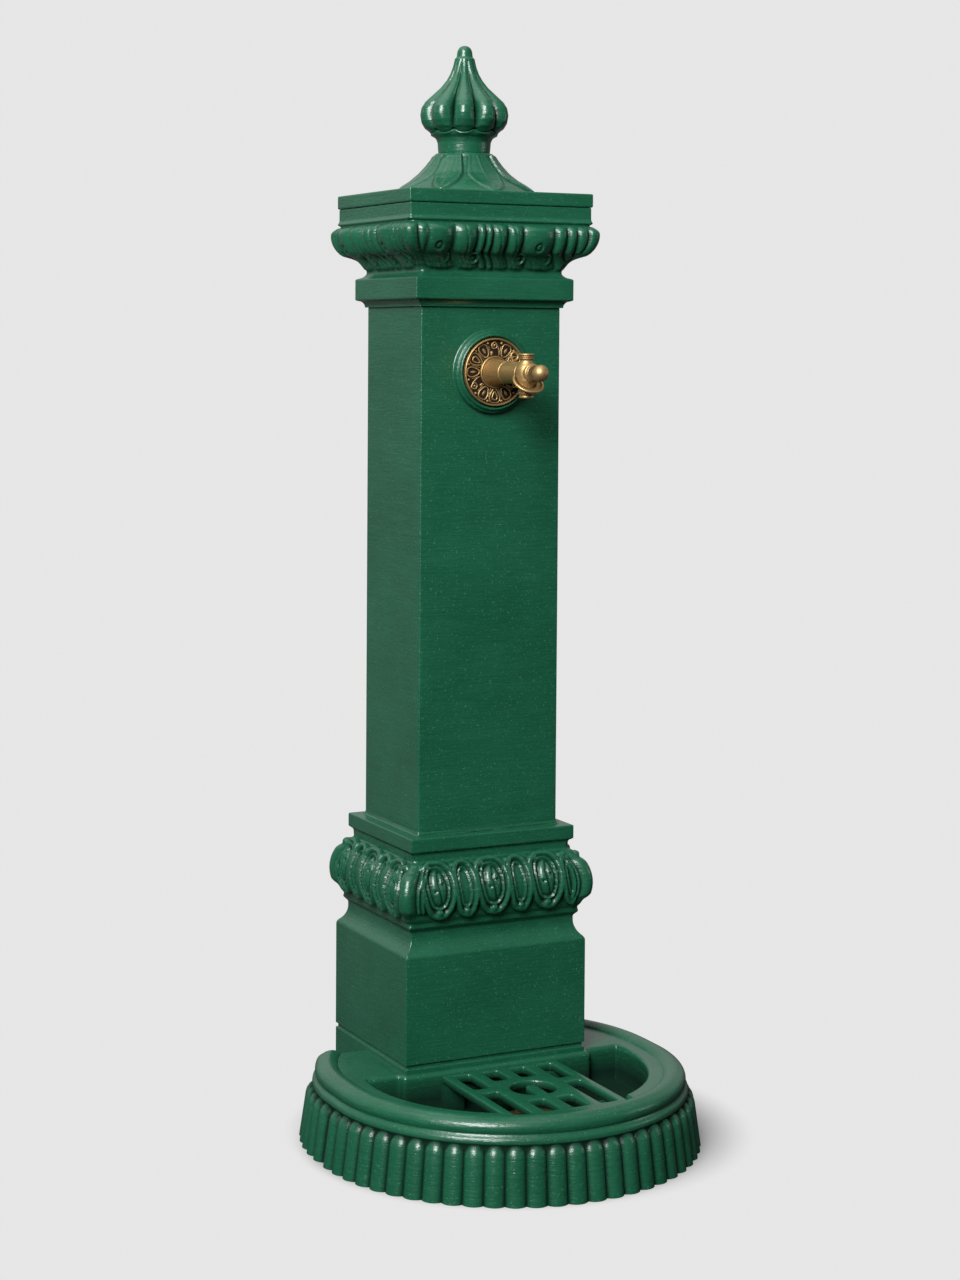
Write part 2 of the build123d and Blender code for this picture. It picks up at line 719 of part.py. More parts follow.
# Tap: rosette and barrel on the boss, nut and washer inside the shaft
rosette_face = boss_thickness + rosette_plate
with BuildPart() as rosette:
    round_length(tap_plane, boss_thickness, rosette_face, rosette_radius)
    round_length(tap_plane, rosette_face, rosette_face + rosette_rim_rise, rosette_radius)
    round_length(tap_plane, rosette_face, rosette_face + overrun, rosette_radius - rosette_rim,
                 Mode.SUBTRACT)
    round_length(tap_plane, rosette_face, rosette_face + rosette_hub_rise, rosette_hub_radius)
    round_length(tap_plane, rosette_face, rosette_face + overrun, rosette_hub_radius - rosette_hub_ring,
                 Mode.SUBTRACT)
    round_length(tap_plane, boss_thickness - overrun, rosette_face + overrun, tail_radius + running_fit,
                 Mode.SUBTRACT)
save(rosette, "rosette")

with BuildPart() as tap_barrel:
    round_length(tap_plane, -casting_wall - tail_inside, rosette_face, tail_radius)
    with BuildSketch(tap_side_view) as barrel_outline:
        with BuildLine():
            barrel_middle = (rosette_face + barrel_reach) / 2
            barrel_waist = barrel_end_radius + (barrel_radius - barrel_end_radius) * barrel_waist_share
            Line((rosette_face, 0), (rosette_face, barrel_radius))
            ThreePointArc((rosette_face, barrel_radius), (barrel_middle, barrel_waist),
                          (barrel_reach, barrel_end_radius))
            Polyline((barrel_reach, barrel_end_radius), (barrel_reach, 0), (rosette_face, 0))
        make_face()
    revolve(axis=tap_axis)
    round_length(tap_plane, barrel_reach, barrel_reach + spigot_length, spigot_radius)
    round_length(tap_plane, -casting_wall - tail_inside - overrun, barrel_reach + spigot_length + overrun,
                 tail_bore_radius, Mode.SUBTRACT)
save(tap_barrel, "tap_barrel")

with BuildPart() as tail_washer:
    washer_face = -casting_wall - tail_washer_thickness
    round_length(tap_plane, washer_face, -casting_wall, tail_washer_radius)
    round_length(tap_plane, washer_face - overrun, overrun, tail_radius + running_fit, Mode.SUBTRACT)
save(tail_washer, "tail_washer")

with BuildPart() as tail_nut:
    hexagon_length(tap_plane, washer_face - backnut_thickness, washer_face, backnut_across)
    round_length(tap_plane, washer_face - backnut_thickness - overrun, overrun, tail_radius + running_fit,
                 Mode.SUBTRACT)
save(tail_nut, "tail_nut")

# Tap body: level tube from the barrel, upright head, tilted drip brim and an eyelet on top
brim_plane = head_plane.offset(-brim_drop)
brim_tilted = Plane(brim_plane.origin + Vector(0, -brim_advance, 0), (1, 0, 0),
                    (0, -math.sin(math.radians(brim_tilt)), math.cos(math.radians(brim_tilt))))
spigot_end = barrel_reach + spigot_length
with BuildPart() as tap_body:
    round_length(tap_plane, barrel_reach, head_reach - head_radius / 2, body_tube_radius)
    fillet(tap_body.faces().sort_by(Axis.Y)[0].edges(), radius=body_tube_radius / 2)
    with BuildSketch(Plane(head_plane.origin, (1, 0, 0), (0, -1, 0))) as head_outline:
        with BuildLine():
            neck_top = top_cap_rise - top_cap_thickness - gasket_thickness
            Polyline((0, -head_foot_drop), (head_foot_radius, -head_foot_drop),
                     (head_foot_radius, -head_foot_start), (head_radius, -head_drop),
                     (head_radius, head_shoulder_rise), (head_neck_radius, head_neck_rise),
                     (head_neck_radius, neck_top), (0, neck_top), close=True)
        make_face()
    revolve(axis=Axis(head_plane.origin, (0, 0, 1)))
    round_length(tap_plane, head_reach, gland_face_reach, gland_boss_radius)
    # Flared brim: a dish that leans forward under the head
    with Locations(brim_tilted):
        Cone(head_foot_radius, brim_radius, brim_depth, align=from_face)
    with Locations(brim_tilted.offset(brim_wall)):
        Cone(head_foot_radius, brim_radius, brim_depth, align=from_face, mode=Mode.SUBTRACT)
    round_length(head_plane, -head_foot_drop, -brim_drop + overrun, head_foot_radius)
    # Upright lug with a round hole, just behind the top cap
    with Locations((0, front_face - eyelet_reach, tap_height)):
        Box(eyelet_radius * 2, eyelet_thickness, eyelet_rise, align=from_face)
    lug_plane = Plane((0, front_face, tap_height + eyelet_rise), (1, 0, 0), (0, -1, 0))
    lug_start = eyelet_reach - eyelet_thickness / 2
    round_length(lug_plane, lug_start, lug_start + eyelet_thickness, eyelet_radius)
    round_length(lug_plane, lug_start - overrun, lug_start + eyelet_thickness, eyelet_hole_radius,
                 Mode.SUBTRACT)
    # Water way: spigot socket, spring chamber, valve seat, gland bore and outlet
    round_length(tap_plane, barrel_reach - overrun, spigot_end, spigot_radius + running_fit, Mode.SUBTRACT)
    round_length(tap_plane, spigot_end, seat_reach, chamber_radius, Mode.SUBTRACT)
    round_length(tap_plane, seat_reach, seat_reach + seat_wall, seat_bore_radius, Mode.SUBTRACT)
    round_length(tap_plane, seat_reach + seat_wall, gland_face_reach + overrun, valve_radius, Mode.SUBTRACT)
    round_length(head_plane, -head_foot_drop - overrun, 0, outlet_radius, Mode.SUBTRACT)
    round_length(head_plane, top_cap_rise - top_cap_thickness - top_cap_shank_length, top_cap_rise,
                 top_cap_shank_radius + running_fit, Mode.SUBTRACT)
save(tap_body, "tap_body")

cap_seat = top_cap_rise - top_cap_thickness
with BuildPart() as top_cap_gasket:
    round_length(head_plane, cap_seat - gasket_thickness, cap_seat, head_neck_radius)
    round_length(head_plane, cap_seat - overrun, top_cap_rise, top_cap_shank_radius + running_fit,
                 Mode.SUBTRACT)
save(top_cap_gasket, "top_cap_gasket")

with BuildPart() as top_cap:
    round_length(head_plane, cap_seat, top_cap_rise - top_cap_step, top_cap_radius - top_cap_step)
    round_length(head_plane, cap_seat + top_cap_step, top_cap_rise, top_cap_radius)
    round_length(head_plane, top_cap_rise - top_cap_thickness - top_cap_shank_length + top_cap_step,
                 cap_seat, top_cap_shank_radius)
save(top_cap, "top_cap")

with BuildPart() as button_gland:
    collar_face = gland_face_reach + gland_collar_length
    spigot_start = gland_face_reach - gland_spigot_length
    ring_start = spigot_start + ring_section * 2
    round_length(tap_plane, gland_face_reach, collar_face, gland_collar_radius)
    fillet(button_gland.faces().sort_by(Axis.Y)[0].edges(), radius=gland_collar_radius / 4)
    round_length(tap_plane, spigot_start, gland_face_reach, valve_radius - running_fit)
    round_length(tap_plane, spigot_start - overrun, collar_face + overrun, stem_radius + running_fit,
                 Mode.SUBTRACT)
    round_length(tap_plane, ring_start, ring_start + ring_section, stem_radius + ring_section,
                 Mode.SUBTRACT)
save(button_gland, "button_gland")

with BuildPart() as gland_o_ring:
    round_length(tap_plane, ring_start, ring_start + ring_section, stem_radius + ring_section)
    round_length(tap_plane, ring_start - overrun, ring_start + overrun, stem_radius + running_fit,
                 Mode.SUBTRACT)
save(gland_o_ring, "gland_o_ring")

# What moves when the button is pressed: the ball and its stem, the valve cup and its washer
washer_back = seat_reach - valve_washer_thickness
cup_back = washer_back - valve_cup_length
# Out at rest, the ball stands its travel and a little play in front of the gland
ball_reach = collar_face + button_travel + ball_stop_play + ball_radius
with BuildPart() as push_button:
    round_length(tap_plane, washer_back - valve_cup_length / 2, ball_reach, stem_radius)
    with Locations((0, front_face - ball_reach, tap_height)):
        Sphere(ball_radius)
save(push_button, "push_button")

with BuildPart() as valve_cup:
    round_length(tap_plane, cup_back, washer_back, valve_radius)
    round_length(tap_plane, washer_back - valve_cup_length / 2, washer_back + overrun,
                 stem_radius, Mode.SUBTRACT)
save(valve_cup, "valve_cup")

with BuildPart() as valve_washer:
    round_length(tap_plane, washer_back, seat_reach, valve_radius - valve_rim / 2)
    round_length(tap_plane, washer_back - overrun, seat_reach + overrun, stem_radius, Mode.SUBTRACT)
save(valve_washer, "valve_washer")

with BuildPart() as return_spring:
    round_length(tap_plane, spigot_end, cup_back, spring_radius)
    round_length(tap_plane, spigot_end - overrun, cup_back + overrun, spring_radius - spring_wire,
                 Mode.SUBTRACT)
save(return_spring, "return_spring")

with BuildPart() as spout_nozzle:
    nozzle_top = -head_foot_drop + nozzle_overlap
    round_length(head_plane, nozzle_top - nozzle_height, -head_foot_drop, nozzle_radius)
    round_length(head_plane, nozzle_top - nozzle_height - overrun, overrun, outlet_radius, Mode.SUBTRACT)
save(spout_nozzle, "spout_nozzle")

# Waste: flanged strainer in the well floor, gasket and nut beneath
flange_foot = waste_gasket_thickness
flange_top = flange_foot + waste_flange_thickness
with BuildPart() as waste_outlet:
    round_length(waste_plane, flange_foot, flange_top, waste_flange_radius)
    # Threaded length, run-out groove and the smooth end that the drain sleeve slides on
    groove_foot = waste_end_length - waste_reach
    round_length(waste_plane, groove_foot + waste_groove_length, flange_top, waste_radius)
    round_length(waste_plane, groove_foot - overrun, groove_foot + waste_groove_length,
                 waste_end_radius - waste_groove_depth)
    round_length(waste_plane, -waste_reach, groove_foot, waste_end_radius)
    round_length(waste_plane, -waste_reach - overrun, flange_top + overrun, waste_radius - waste_wall,
                 Mode.SUBTRACT)
    with Locations(waste_plane.offset(flange_foot)):
        Box(waste_radius * 2 - waste_wall, waste_bar, waste_flange_thickness, align=from_face)
        Box(waste_bar, waste_radius * 2 - waste_wall, waste_flange_thickness, align=from_face)
save(waste_outlet, "waste_outlet")

with BuildPart() as waste_gasket:
    round_length(waste_plane, 0, waste_gasket_thickness, waste_flange_radius)
    round_length(waste_plane, -overrun, overrun, waste_radius + running_fit, Mode.SUBTRACT)
save(waste_gasket, "waste_gasket")

with BuildPart() as waste_nut:
    nut_top = -well_floor_thickness
    hexagon_length(waste_plane, nut_top - waste_nut_height, nut_top, waste_nut_across)
    round_length(waste_plane, nut_top - waste_nut_height - overrun, nut_top + overrun,
                 waste_radius + running_fit, Mode.SUBTRACT)
save(waste_nut, "waste_nut")
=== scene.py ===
# %% [markdown]
# # A cast-iron garden standpipe
#
# The real object is a stack of green enamelled castings: a fluted basin, a moulded base, a plain shaft,
# a capital, a leaf cap and a bud. One brass push tap sits on the front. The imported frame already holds
# every piece at its real size. This lesson gives the pieces their finish, and makes again those whose
# carving and soft casting edges a plain solid can't show.

# %% Load the frame
import json
import math

import bmesh
import bpy
import numpy as np
from mathutils import Matrix, Vector


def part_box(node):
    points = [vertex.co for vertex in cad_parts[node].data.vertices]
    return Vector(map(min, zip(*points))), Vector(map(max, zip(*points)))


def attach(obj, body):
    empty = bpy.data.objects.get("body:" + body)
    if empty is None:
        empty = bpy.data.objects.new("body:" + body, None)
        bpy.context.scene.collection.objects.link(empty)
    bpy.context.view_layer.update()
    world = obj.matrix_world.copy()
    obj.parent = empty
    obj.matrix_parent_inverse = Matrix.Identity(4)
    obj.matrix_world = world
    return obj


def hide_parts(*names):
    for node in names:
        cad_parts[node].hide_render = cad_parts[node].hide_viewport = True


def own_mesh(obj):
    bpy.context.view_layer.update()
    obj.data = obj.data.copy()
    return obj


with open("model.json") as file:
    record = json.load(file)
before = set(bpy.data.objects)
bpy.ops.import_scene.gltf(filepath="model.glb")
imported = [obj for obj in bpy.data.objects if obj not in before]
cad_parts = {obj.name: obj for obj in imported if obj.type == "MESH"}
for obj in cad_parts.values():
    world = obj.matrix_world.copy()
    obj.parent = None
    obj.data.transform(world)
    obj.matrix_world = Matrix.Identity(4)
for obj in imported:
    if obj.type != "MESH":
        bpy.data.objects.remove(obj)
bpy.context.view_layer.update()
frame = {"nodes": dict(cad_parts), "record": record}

# %% [markdown]
# ## Where things are
#
# All places below are given in millimetres from the column's own axis, because that is how the castings
# are drawn. The tie rod runs along that axis, so its box says where the axis stands in the frame. One
# function turns such a place into the frame's metres.

# %% Column coordinates
MM = 0.001
rod_low, rod_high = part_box("tie_rod")
AXIS_Y = (rod_low.y + rod_high.y) / 2


def level(node, end):
    """The height of a CAD node's foot (0) or top (1), in millimetres."""
    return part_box(node)[end].z / MM


def to_frame(points):
    """Points in millimetres from the column's axis become points in the frame."""
    return np.asarray(points, float) * MM + np.array([0, AXIS_Y, 0])


def in_scene(name, data):
    """A new object in the scene, with the given mesh, camera or lamp."""
    made = bpy.data.objects.new(name, data)
    bpy.context.scene.collection.objects.link(made)
    return made


SHAFT_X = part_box("shaft")[1].x / MM
SHAFT_Y = (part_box("shaft")[1].y - AXIS_Y) / MM
TAP_Z = (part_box("push_button")[0].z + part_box("push_button")[1].z) / 2 / MM
print("shaft half sizes", round(SHAFT_X, 1), round(SHAFT_Y, 1), "tap at", round(TAP_Z, 1))

# %% [markdown]
# ## The camera
#
# The photograph was taken from the left, at about the height of the tap, from about 2.7 m. The camera is
# tilted down slightly, and the lens shift frames the rest, as on a view camera. It could be aimed by hand,
# but a fit to the column's edges gave the angles, so the tilt is built from three directions: right, up
# and forward.

# %% Camera
# The long side and the focal length are in the photograph's pixels, and the angles in radians
FRAME_LONG_SIDE = 1280
SENSOR_SIDE = 36
FOCAL_PIXELS = 2436.7
CAMERA_TURN = 0.4635
CAMERA_PITCH = 0.0384
CAMERA_ROLL = 0.0068
CAMERA_PLACE = (-1203.0, -2451.5, 863.2)
CAMERA_SHIFT = -0.155
CAMERA_REACH = (0.05, 50)


def make_camera():
    """The camera at the photograph's place, turned by its three directions."""
    turn, pitch, roll = CAMERA_TURN, CAMERA_PITCH, CAMERA_ROLL
    level_forward = Vector((math.sin(turn), math.cos(turn), 0))
    right = Vector((math.cos(turn), -math.sin(turn), 0))
    forward = level_forward * math.cos(pitch) - Vector((0, 0, 1)) * math.sin(pitch)
    up = right.cross(forward)
    image_right = right * math.cos(roll) + up * math.sin(roll)
    image_up = up * math.cos(roll) - right * math.sin(roll)
    turned = Matrix((image_right, image_up, -forward)).transposed().to_4x4()
    data = bpy.data.cameras.new("photo_camera")
    data.sensor_width = SENSOR_SIDE
    data.lens = FOCAL_PIXELS * SENSOR_SIDE / FRAME_LONG_SIDE
    data.shift_y = CAMERA_SHIFT
    data.clip_start, data.clip_end = CAMERA_REACH
    camera = in_scene("photo_camera", data)
    camera.matrix_world = Matrix.Translation(to_frame(CAMERA_PLACE)) @ turned
    bpy.context.scene.camera = camera
    return camera


camera = make_camera()
print("camera lens", round(camera.data.lens, 2), "mm")

# %% [markdown]
# ## Shader maths as expressions
#
# A material is a small calculation. Writing it as Python expressions keeps it readable: a signal wraps a
# node's output, and adding or multiplying two signals adds the Math node for it. Every other node comes
# from one method, which takes the node's type, its settings and its inputs.

# %% Signals and the shop that makes their nodes


class Signal:
    """An output that can take part in sums and products."""

    def __init__(self, shop, socket):
        self.shop = shop
        self.socket = socket

    def __add__(self, other):
        return self.shop.maths("ADD", self, other)

    def __radd__(self, other):
        return self.shop.maths("ADD", other, self)

    def __sub__(self, other):
        return self.shop.maths("SUBTRACT", self, other)

    def __rsub__(self, other):
        return self.shop.maths("SUBTRACT", other, self)

    def __mul__(self, other):
        return self.shop.maths("MULTIPLY", self, other)

    def __rmul__(self, other):
        return self.shop.maths("MULTIPLY", other, self)

    def __truediv__(self, other):
        return self.shop.maths("DIVIDE", self, other)

    def __pow__(self, power):
        return self.shop.maths("POWER", self, power)

    def clamped(self, low=0.0, high=1.0):
        """The signal, held between two values."""
        return self.shop.maths("MINIMUM", self.shop.maths("MAXIMUM", self, low), high)


class Shop:
    """Makes the nodes of one tree."""

    def __init__(self, tree):
        self.tree = tree

    def node(self, kind, settings=(), inputs=(), output=0):
        """One node: its settings come first, then its inputs by name or number."""
        made = self.tree.nodes.new(kind)
        for key, value in dict(settings).items():
            setattr(made, key, value)
        for key, value in dict(inputs).items():
            if isinstance(value, Signal):
                self.tree.links.new(value.socket, made.inputs[key])
            else:
                made.inputs[key].default_value = value
        return Signal(self, made.outputs[output]) if len(made.outputs) else made

    def maths(self, operation, *values):
        """A Math node on its one or two values."""
        return self.node("ShaderNodeMath", {"operation": operation}, dict(enumerate(values)))

    def ramp(self, signal, stops):
        """A colour ramp through (place, colour) stops."""
        made = self.node("ShaderNodeValToRGB", (), {"Fac": signal})
        ramp = made.socket.node.color_ramp
        while len(ramp.elements) < len(stops):
            ramp.elements.new(0.5)
        for element, (place, colour) in zip(ramp.elements, stops):
            element.position = place
            element.color = (*colour, 1)
        return made

    def mix(self, share, first, second):
        """A colour between two colours."""
        inputs = {"Factor": share, 6: first, 7: second}
        return self.node("ShaderNodeMix", {"data_type": "RGBA"}, inputs, output=2)

    def noise(self, place, scale, detail, roughness):
        """A cloudy value between 0 and 1."""
        inputs = {"Vector": place, "Scale": scale, "Detail": detail, "Roughness": roughness}
        return self.node("ShaderNodeTexNoise", (), inputs)

    def stretched(self, place, scale):
        """Coordinates pulled longer or shorter along each axis."""
        return self.node("ShaderNodeMapping", (), {"Vector": place, "Scale": scale})

    def place(self):
        """Object coordinates, which stay with a piece when it moves."""
        return self.node("ShaderNodeTexCoord", (), (), output="Object")

    def part(self, vector, axis):
        """The X, Y or Z part of a vector."""
        return self.node("ShaderNodeSeparateXYZ", (), {0: vector}, output=axis)

    def carved(self):
        """The value stored on a mesh's points, 1 deep in a crease and 0 on open surfaces, from which the
        materials paint shade, on brass partly patina.
        """
        return self.node("ShaderNodeAttribute", {"attribute_name": "hollow"}, (), output="Fac")


# The matt surface that takes over in hollows: painted shade, and on brass partly patina
SHADE_AND_PATINA_ROUGHNESS, SHADE_AND_PATINA_SPECULAR = 0.9, 0.1


def colour(red, green, blue):
    """A colour socket's four numbers."""
    return (red, green, blue, 1.0)


def new_material(name):
    """An empty material and the shop for its nodes."""
    material = bpy.data.materials.new(name)
    material.use_nodes = True
    material.node_tree.nodes.clear()
    return material, Shop(material.node_tree)


def finish_material(shop, values, bump, bump_depth, shade_and_patina=None):
    """A surface shader with the given inputs and a bump. The last argument is a share and a colour of
    painted shade,
    which on brass is partly patina: where the share is high, a matt surface of that colour takes over."""
    bump_inputs = {"Height": bump, "Strength": 1.0, "Distance": bump_depth}
    inputs = {**values, "Normal": shop.node("ShaderNodeBump", (), bump_inputs)}
    surface = shop.node("ShaderNodeBsdfPrincipled", (), inputs)
    if shade_and_patina is not None:
        share, dark = shade_and_patina
        matt_inputs = {"Base Color": colour(*dark), "Roughness": SHADE_AND_PATINA_ROUGHNESS,
                       "Specular IOR Level": SHADE_AND_PATINA_SPECULAR}
        matt = shop.node("ShaderNodeBsdfPrincipled", (), matt_inputs)
        surface = shop.node("ShaderNodeMixShader", (), {"Fac": share, 1: surface, 2: matt})
    shop.node("ShaderNodeOutputMaterial", (), {"Surface": surface})


print("signals ready")

# %% [markdown]
# ## Green enamel
#
# The castings carry thick brushed enamel over sand-cast iron. Close by, the paint shows short level brush
# ridges, a faint orange peel and specks where the sand left grains. The gloss changes with them. A picture
# of paint would smear over the carving, so noise makes all of it. The streaks follow Object coordinates,
# pulled long in the level directions and short upwards. In the hollows a matt dark green takes over, which
# is painted shade.

# %% Enamel material
ENAMEL_GREENS = [(0.30, (0.0048, 0.0605, 0.0290)), (0.55, (0.0075, 0.0810, 0.0400)),
                 (0.78, (0.0125, 0.1020, 0.0540))]
ENAMEL_FLECK, ENAMEL_PAINTED_SHADE = (0.060, 0.190, 0.120), (0.0012, 0.0095, 0.0055)
BRUSH_SCALE, FINE_BRUSH_SCALE = (42, 42, 420), (160, 160, 1100)
PEEL_SCALE, PATCH_SCALE, GRAIN_SCALE, FLECK_SCALE = 190.0, 9.0, 150.0, 480.0
ENAMEL_RELIEF, ENAMEL_SHADE_SHARE, ENAMEL_SPECULAR = 0.00068, 0.92, 0.55


def make_enamel():
    """Brushed gloss paint, with painted shade in the hollows."""
    material, shop = new_material("green_enamel")
    place = shop.place()
    streaks = shop.noise(shop.stretched(place, BRUSH_SCALE), 1.0, 3.0, 0.6)
    fine_streaks = shop.noise(shop.stretched(place, FINE_BRUSH_SCALE), 1.0, 2.0, 0.5)
    peel = shop.noise(place, PEEL_SCALE, 2.0, 0.5)
    patches = shop.noise(place, PATCH_SCALE, 3.0, 0.6)
    grain_inputs = {"Vector": place, "Scale": GRAIN_SCALE, "Randomness": 1.0}
    grains = shop.node("ShaderNodeTexVoronoi", (), grain_inputs, output="Distance")
    speck = (1.0 - grains * 3.4).clamped() ** 2.0
    height = streaks * 0.55 + fine_streaks * 0.2 + peel * 0.35 + speck * 0.12
    tone = patches * 0.55 + streaks * 0.3 + peel * 0.15
    fleck = ((shop.noise(place, FLECK_SCALE, 1.0, 0.5) - 0.68) * 16.0).clamped(0.0, 0.5)
    green = shop.mix(fleck, shop.ramp(tone, ENAMEL_GREENS), colour(*ENAMEL_FLECK))
    roughness = 0.19 + streaks * 0.13 + patches * 0.08
    values = {"Base Color": green, "Roughness": roughness, "Specular IOR Level": ENAMEL_SPECULAR}
    # The hollows' share of painted shade, a matt dark green
    hollow = (shop.carved() * ENAMEL_SHADE_SHARE).clamped()
    finish_material(shop, values, height, ENAMEL_RELIEF, (hollow, ENAMEL_PAINTED_SHADE))
    return material


enamel = make_enamel()
print("made", enamel.name)

# %% [markdown]
# ## Brass and the hidden metals
#
# The tap is cast brass with an antique finish: nearly black in the recesses, warm gold on everything that
# hands and cloths reach. Painting that by hand would tie it to one shape. One function makes both states
# instead, from how deep each point lies in a crease, which is stored on the mesh, and from cloudy noise.
# The dark in the rosette's dish is that patina. In the tap's folds it is partly patina and partly painted
# shade, and in the gland's neck and behind the ball it is painted shade.
# The copper, steel and rubber pieces are inside, and each gets its own plain finish.

# %% Brass materials
CLOUD_SCALE, PIT_SCALE, RUB_SCALE = 150.0, 900.0, (2600, 300, 300)
BRASS_RELIEF, BRASS_PATINA_AND_SHADE_SHARE, BRASS_PATINA_AND_SHADE = 0.00006, 0.85, (0.0120, 0.0070, 0.0040)


def make_brass(name, gold, dark, tarnish, roughness_low):
    """Cast brass: dark where it is tarnished, and in the hollows as patina and painted shade; gold
    elsewhere.
    """
    material, shop = new_material(name)
    place = shop.place()
    clouds = shop.noise(place, CLOUD_SCALE, 4.0, 0.6)
    pits = shop.noise(place, PIT_SCALE, 3.0, 0.6)
    rubbed = shop.noise(shop.stretched(place, RUB_SCALE), 1.0, 2.0, 0.5)
    hollow = shop.carved()
    # The dark share: cloudy tarnish, and the stored hollow value, which is patina and painted shade
    tarnish_and_shade = (hollow * 1.35 + (clouds - 0.5) * tarnish).clamped()
    tint = shop.mix(tarnish_and_shade, colour(*gold), colour(*dark))
    roughness = roughness_low + clouds * 0.14 + tarnish_and_shade * 0.2
    values = {"Base Color": tint, "Metallic": 0.86 - tarnish_and_shade * 0.4, "Roughness": roughness}
    height = pits * 0.5 + rubbed * 0.2 + clouds * 0.5
    # A matt dark brown takes over in the hollows, as patina and painted shade
    shade_and_patina = ((hollow * BRASS_PATINA_AND_SHADE_SHARE).clamped(), BRASS_PATINA_AND_SHADE)
    finish_material(shop, values, height, BRASS_RELIEF, shade_and_patina)
    return material


aged_brass = make_brass("antique_brass", (0.47, 0.315, 0.130), (0.045, 0.025, 0.013), 0.55, 0.38)
worn_brass = make_brass("polished_brass", (0.44, 0.290, 0.130), (0.12, 0.07, 0.03), 0.35, 0.42)
print("made", aged_brass.name, worn_brass.name)

# %% Plain metals and rubber
# Each finish has a colour, how metallic and how rough it is, and the depth of its grain in metres
PLAIN_FINISHES = {
    "pipe_copper": ((0.66, 0.33, 0.20), 1.0, 0.25, 0.0001),
    "zinc_steel": ((0.56, 0.57, 0.58), 1.0, 0.3, 0.0001),
    "spring_steel": ((0.62, 0.62, 0.64), 1.0, 0.2, 0.00005),
    "black_rubber": ((0.03, 0.03, 0.03), 0.0, 0.55, 0.0001),
}
PLAIN_CLOUD_SCALE, PLAIN_GRAIN_SCALE, PLAIN_SHADE = 80.0, 1200.0, 0.75


def make_plain(name, base, metallic, roughness, grain):
    """A plain finish with a cloudy tone and a fine grain."""
    material, shop = new_material(name)
    place = shop.place()
    clouds = shop.noise(place, PLAIN_CLOUD_SCALE, 3.0, 0.6)
    texture = shop.noise(place, PLAIN_GRAIN_SCALE, 2.0, 0.5)
    low = [part * PLAIN_SHADE for part in base]
    tint = shop.ramp(clouds, [(0.3, low), (0.7, base)])
    values = {"Base Color": tint, "Metallic": metallic, "Roughness": clouds * 0.2 + roughness}
    finish_material(shop, values, texture, grain)
    return material


slot_materials = {"green_enamel": enamel, "antique_brass": aged_brass, "polished_brass": worn_brass}
slot_materials.update({name: make_plain(name, *values) for name, values in PLAIN_FINISHES.items()})
slot_of_node = {part["node"]: part["material_slot"] for part in frame["record"]["subparts"]}
for name, node in frame["nodes"].items():
    node.data.materials.clear()
    node.data.materials.append(slot_materials[slot_of_node[name]])
print("dressed", len(slot_of_node), "nodes in", len(slot_materials), "materials")

# %% [markdown]
# ## Soft profiles
#
# Cast iron has no sharp corners: the sand rounds them and the paint rounds them more. So each profile is
# written as its corner points and arcs, and one function eases the corners. It also leaves a support point
# just before each small curve, which keeps the wide flats flat under smooth shading.

# %% Arcs, eased corners and even steps
# A corner that hardly turns is left alone, and a curve takes less than half of either side. A side that is
# a few times longer than the curve gets a support point
STRAIGHT_ON, LARGEST_SHARE, SUPPORT_REACH = -0.985, 0.45, 3
ARC_POINTS = 12


def arc_through(start, middle, end, count):
    """Points of the circle through three points, without the first."""
    (ax, ay), (bx, by), (cx, cy) = start, middle, end
    twice_area = 2 * (ax * (by - cy) + bx * (cy - ay) + cx * (ay - by))
    squares = [x * x + y * y for x, y in (start, middle, end)]
    centre_x = squares[0] * (by - cy) + squares[1] * (cy - ay) + squares[2] * (ay - by)
    centre_y = squares[0] * (cx - bx) + squares[1] * (ax - cx) + squares[2] * (bx - ax)
    centre = np.array([centre_x, centre_y]) / twice_area
    turns = [math.atan2(y - centre[1], x - centre[0]) for x, y in (start, middle, end)]
    sweep = (turns[2] - turns[0]) % math.tau
    if (turns[1] - turns[0]) % math.tau > sweep:
        sweep -= math.tau
    steps = turns[0] + sweep * np.linspace(0, 1, count + 1)[1:]
    radius = math.dist(start, centre)
    return [centre + radius * np.array([math.cos(turn), math.sin(turn)]) for turn in steps]


def eased_corner(before, corner, after, soft):
    """A small curve in place of a corner, with a support point on each long side."""
    back, ahead = before - corner, after - corner
    back_length, ahead_length = np.linalg.norm(back), np.linalg.norm(ahead)
    back, ahead = back / back_length, ahead / ahead_length
    if back @ ahead < STRAIGHT_ON:
        return [corner]
    reach = min(soft, back_length * LARGEST_SHARE, ahead_length * LARGEST_SHARE)
    enter, leave = corner + back * reach, corner + ahead * reach
    curve = [enter * (1 - t) ** 2 + corner * 2 * t * (1 - t) + leave * t ** 2 for t in (0, 0.3, 0.7, 1)]
    if back_length > reach * SUPPORT_REACH:
        curve.insert(0, enter + back * reach * 0.6)
    if ahead_length > reach * SUPPORT_REACH:
        curve.append(leave + ahead * reach * 0.6)
    return curve


def soft_line(steps, soft, closed=False):
    """A line through (x, y) steps, where four numbers are an arc's middle and end, with eased corners."""
    points, joints = [np.array(steps[0], float)], []
    for step in steps[1:]:
        joints.append(len(points) - 1)
        if len(step) == 2:
            points.append(np.array(step, float))
        else:
            points.extend(arc_through(points[-1], step[:2], step[2:], ARC_POINTS))
    joints.append(len(points) - 1)
    if not closed:
        joints = joints[1:-1]
    line = []
    for index, point in enumerate(points):
        if index in joints:
            line.extend(eased_corner(points[index - 1], point, points[(index + 1) % len(points)], soft))
        else:
            line.append(point)
    return np.array(line)


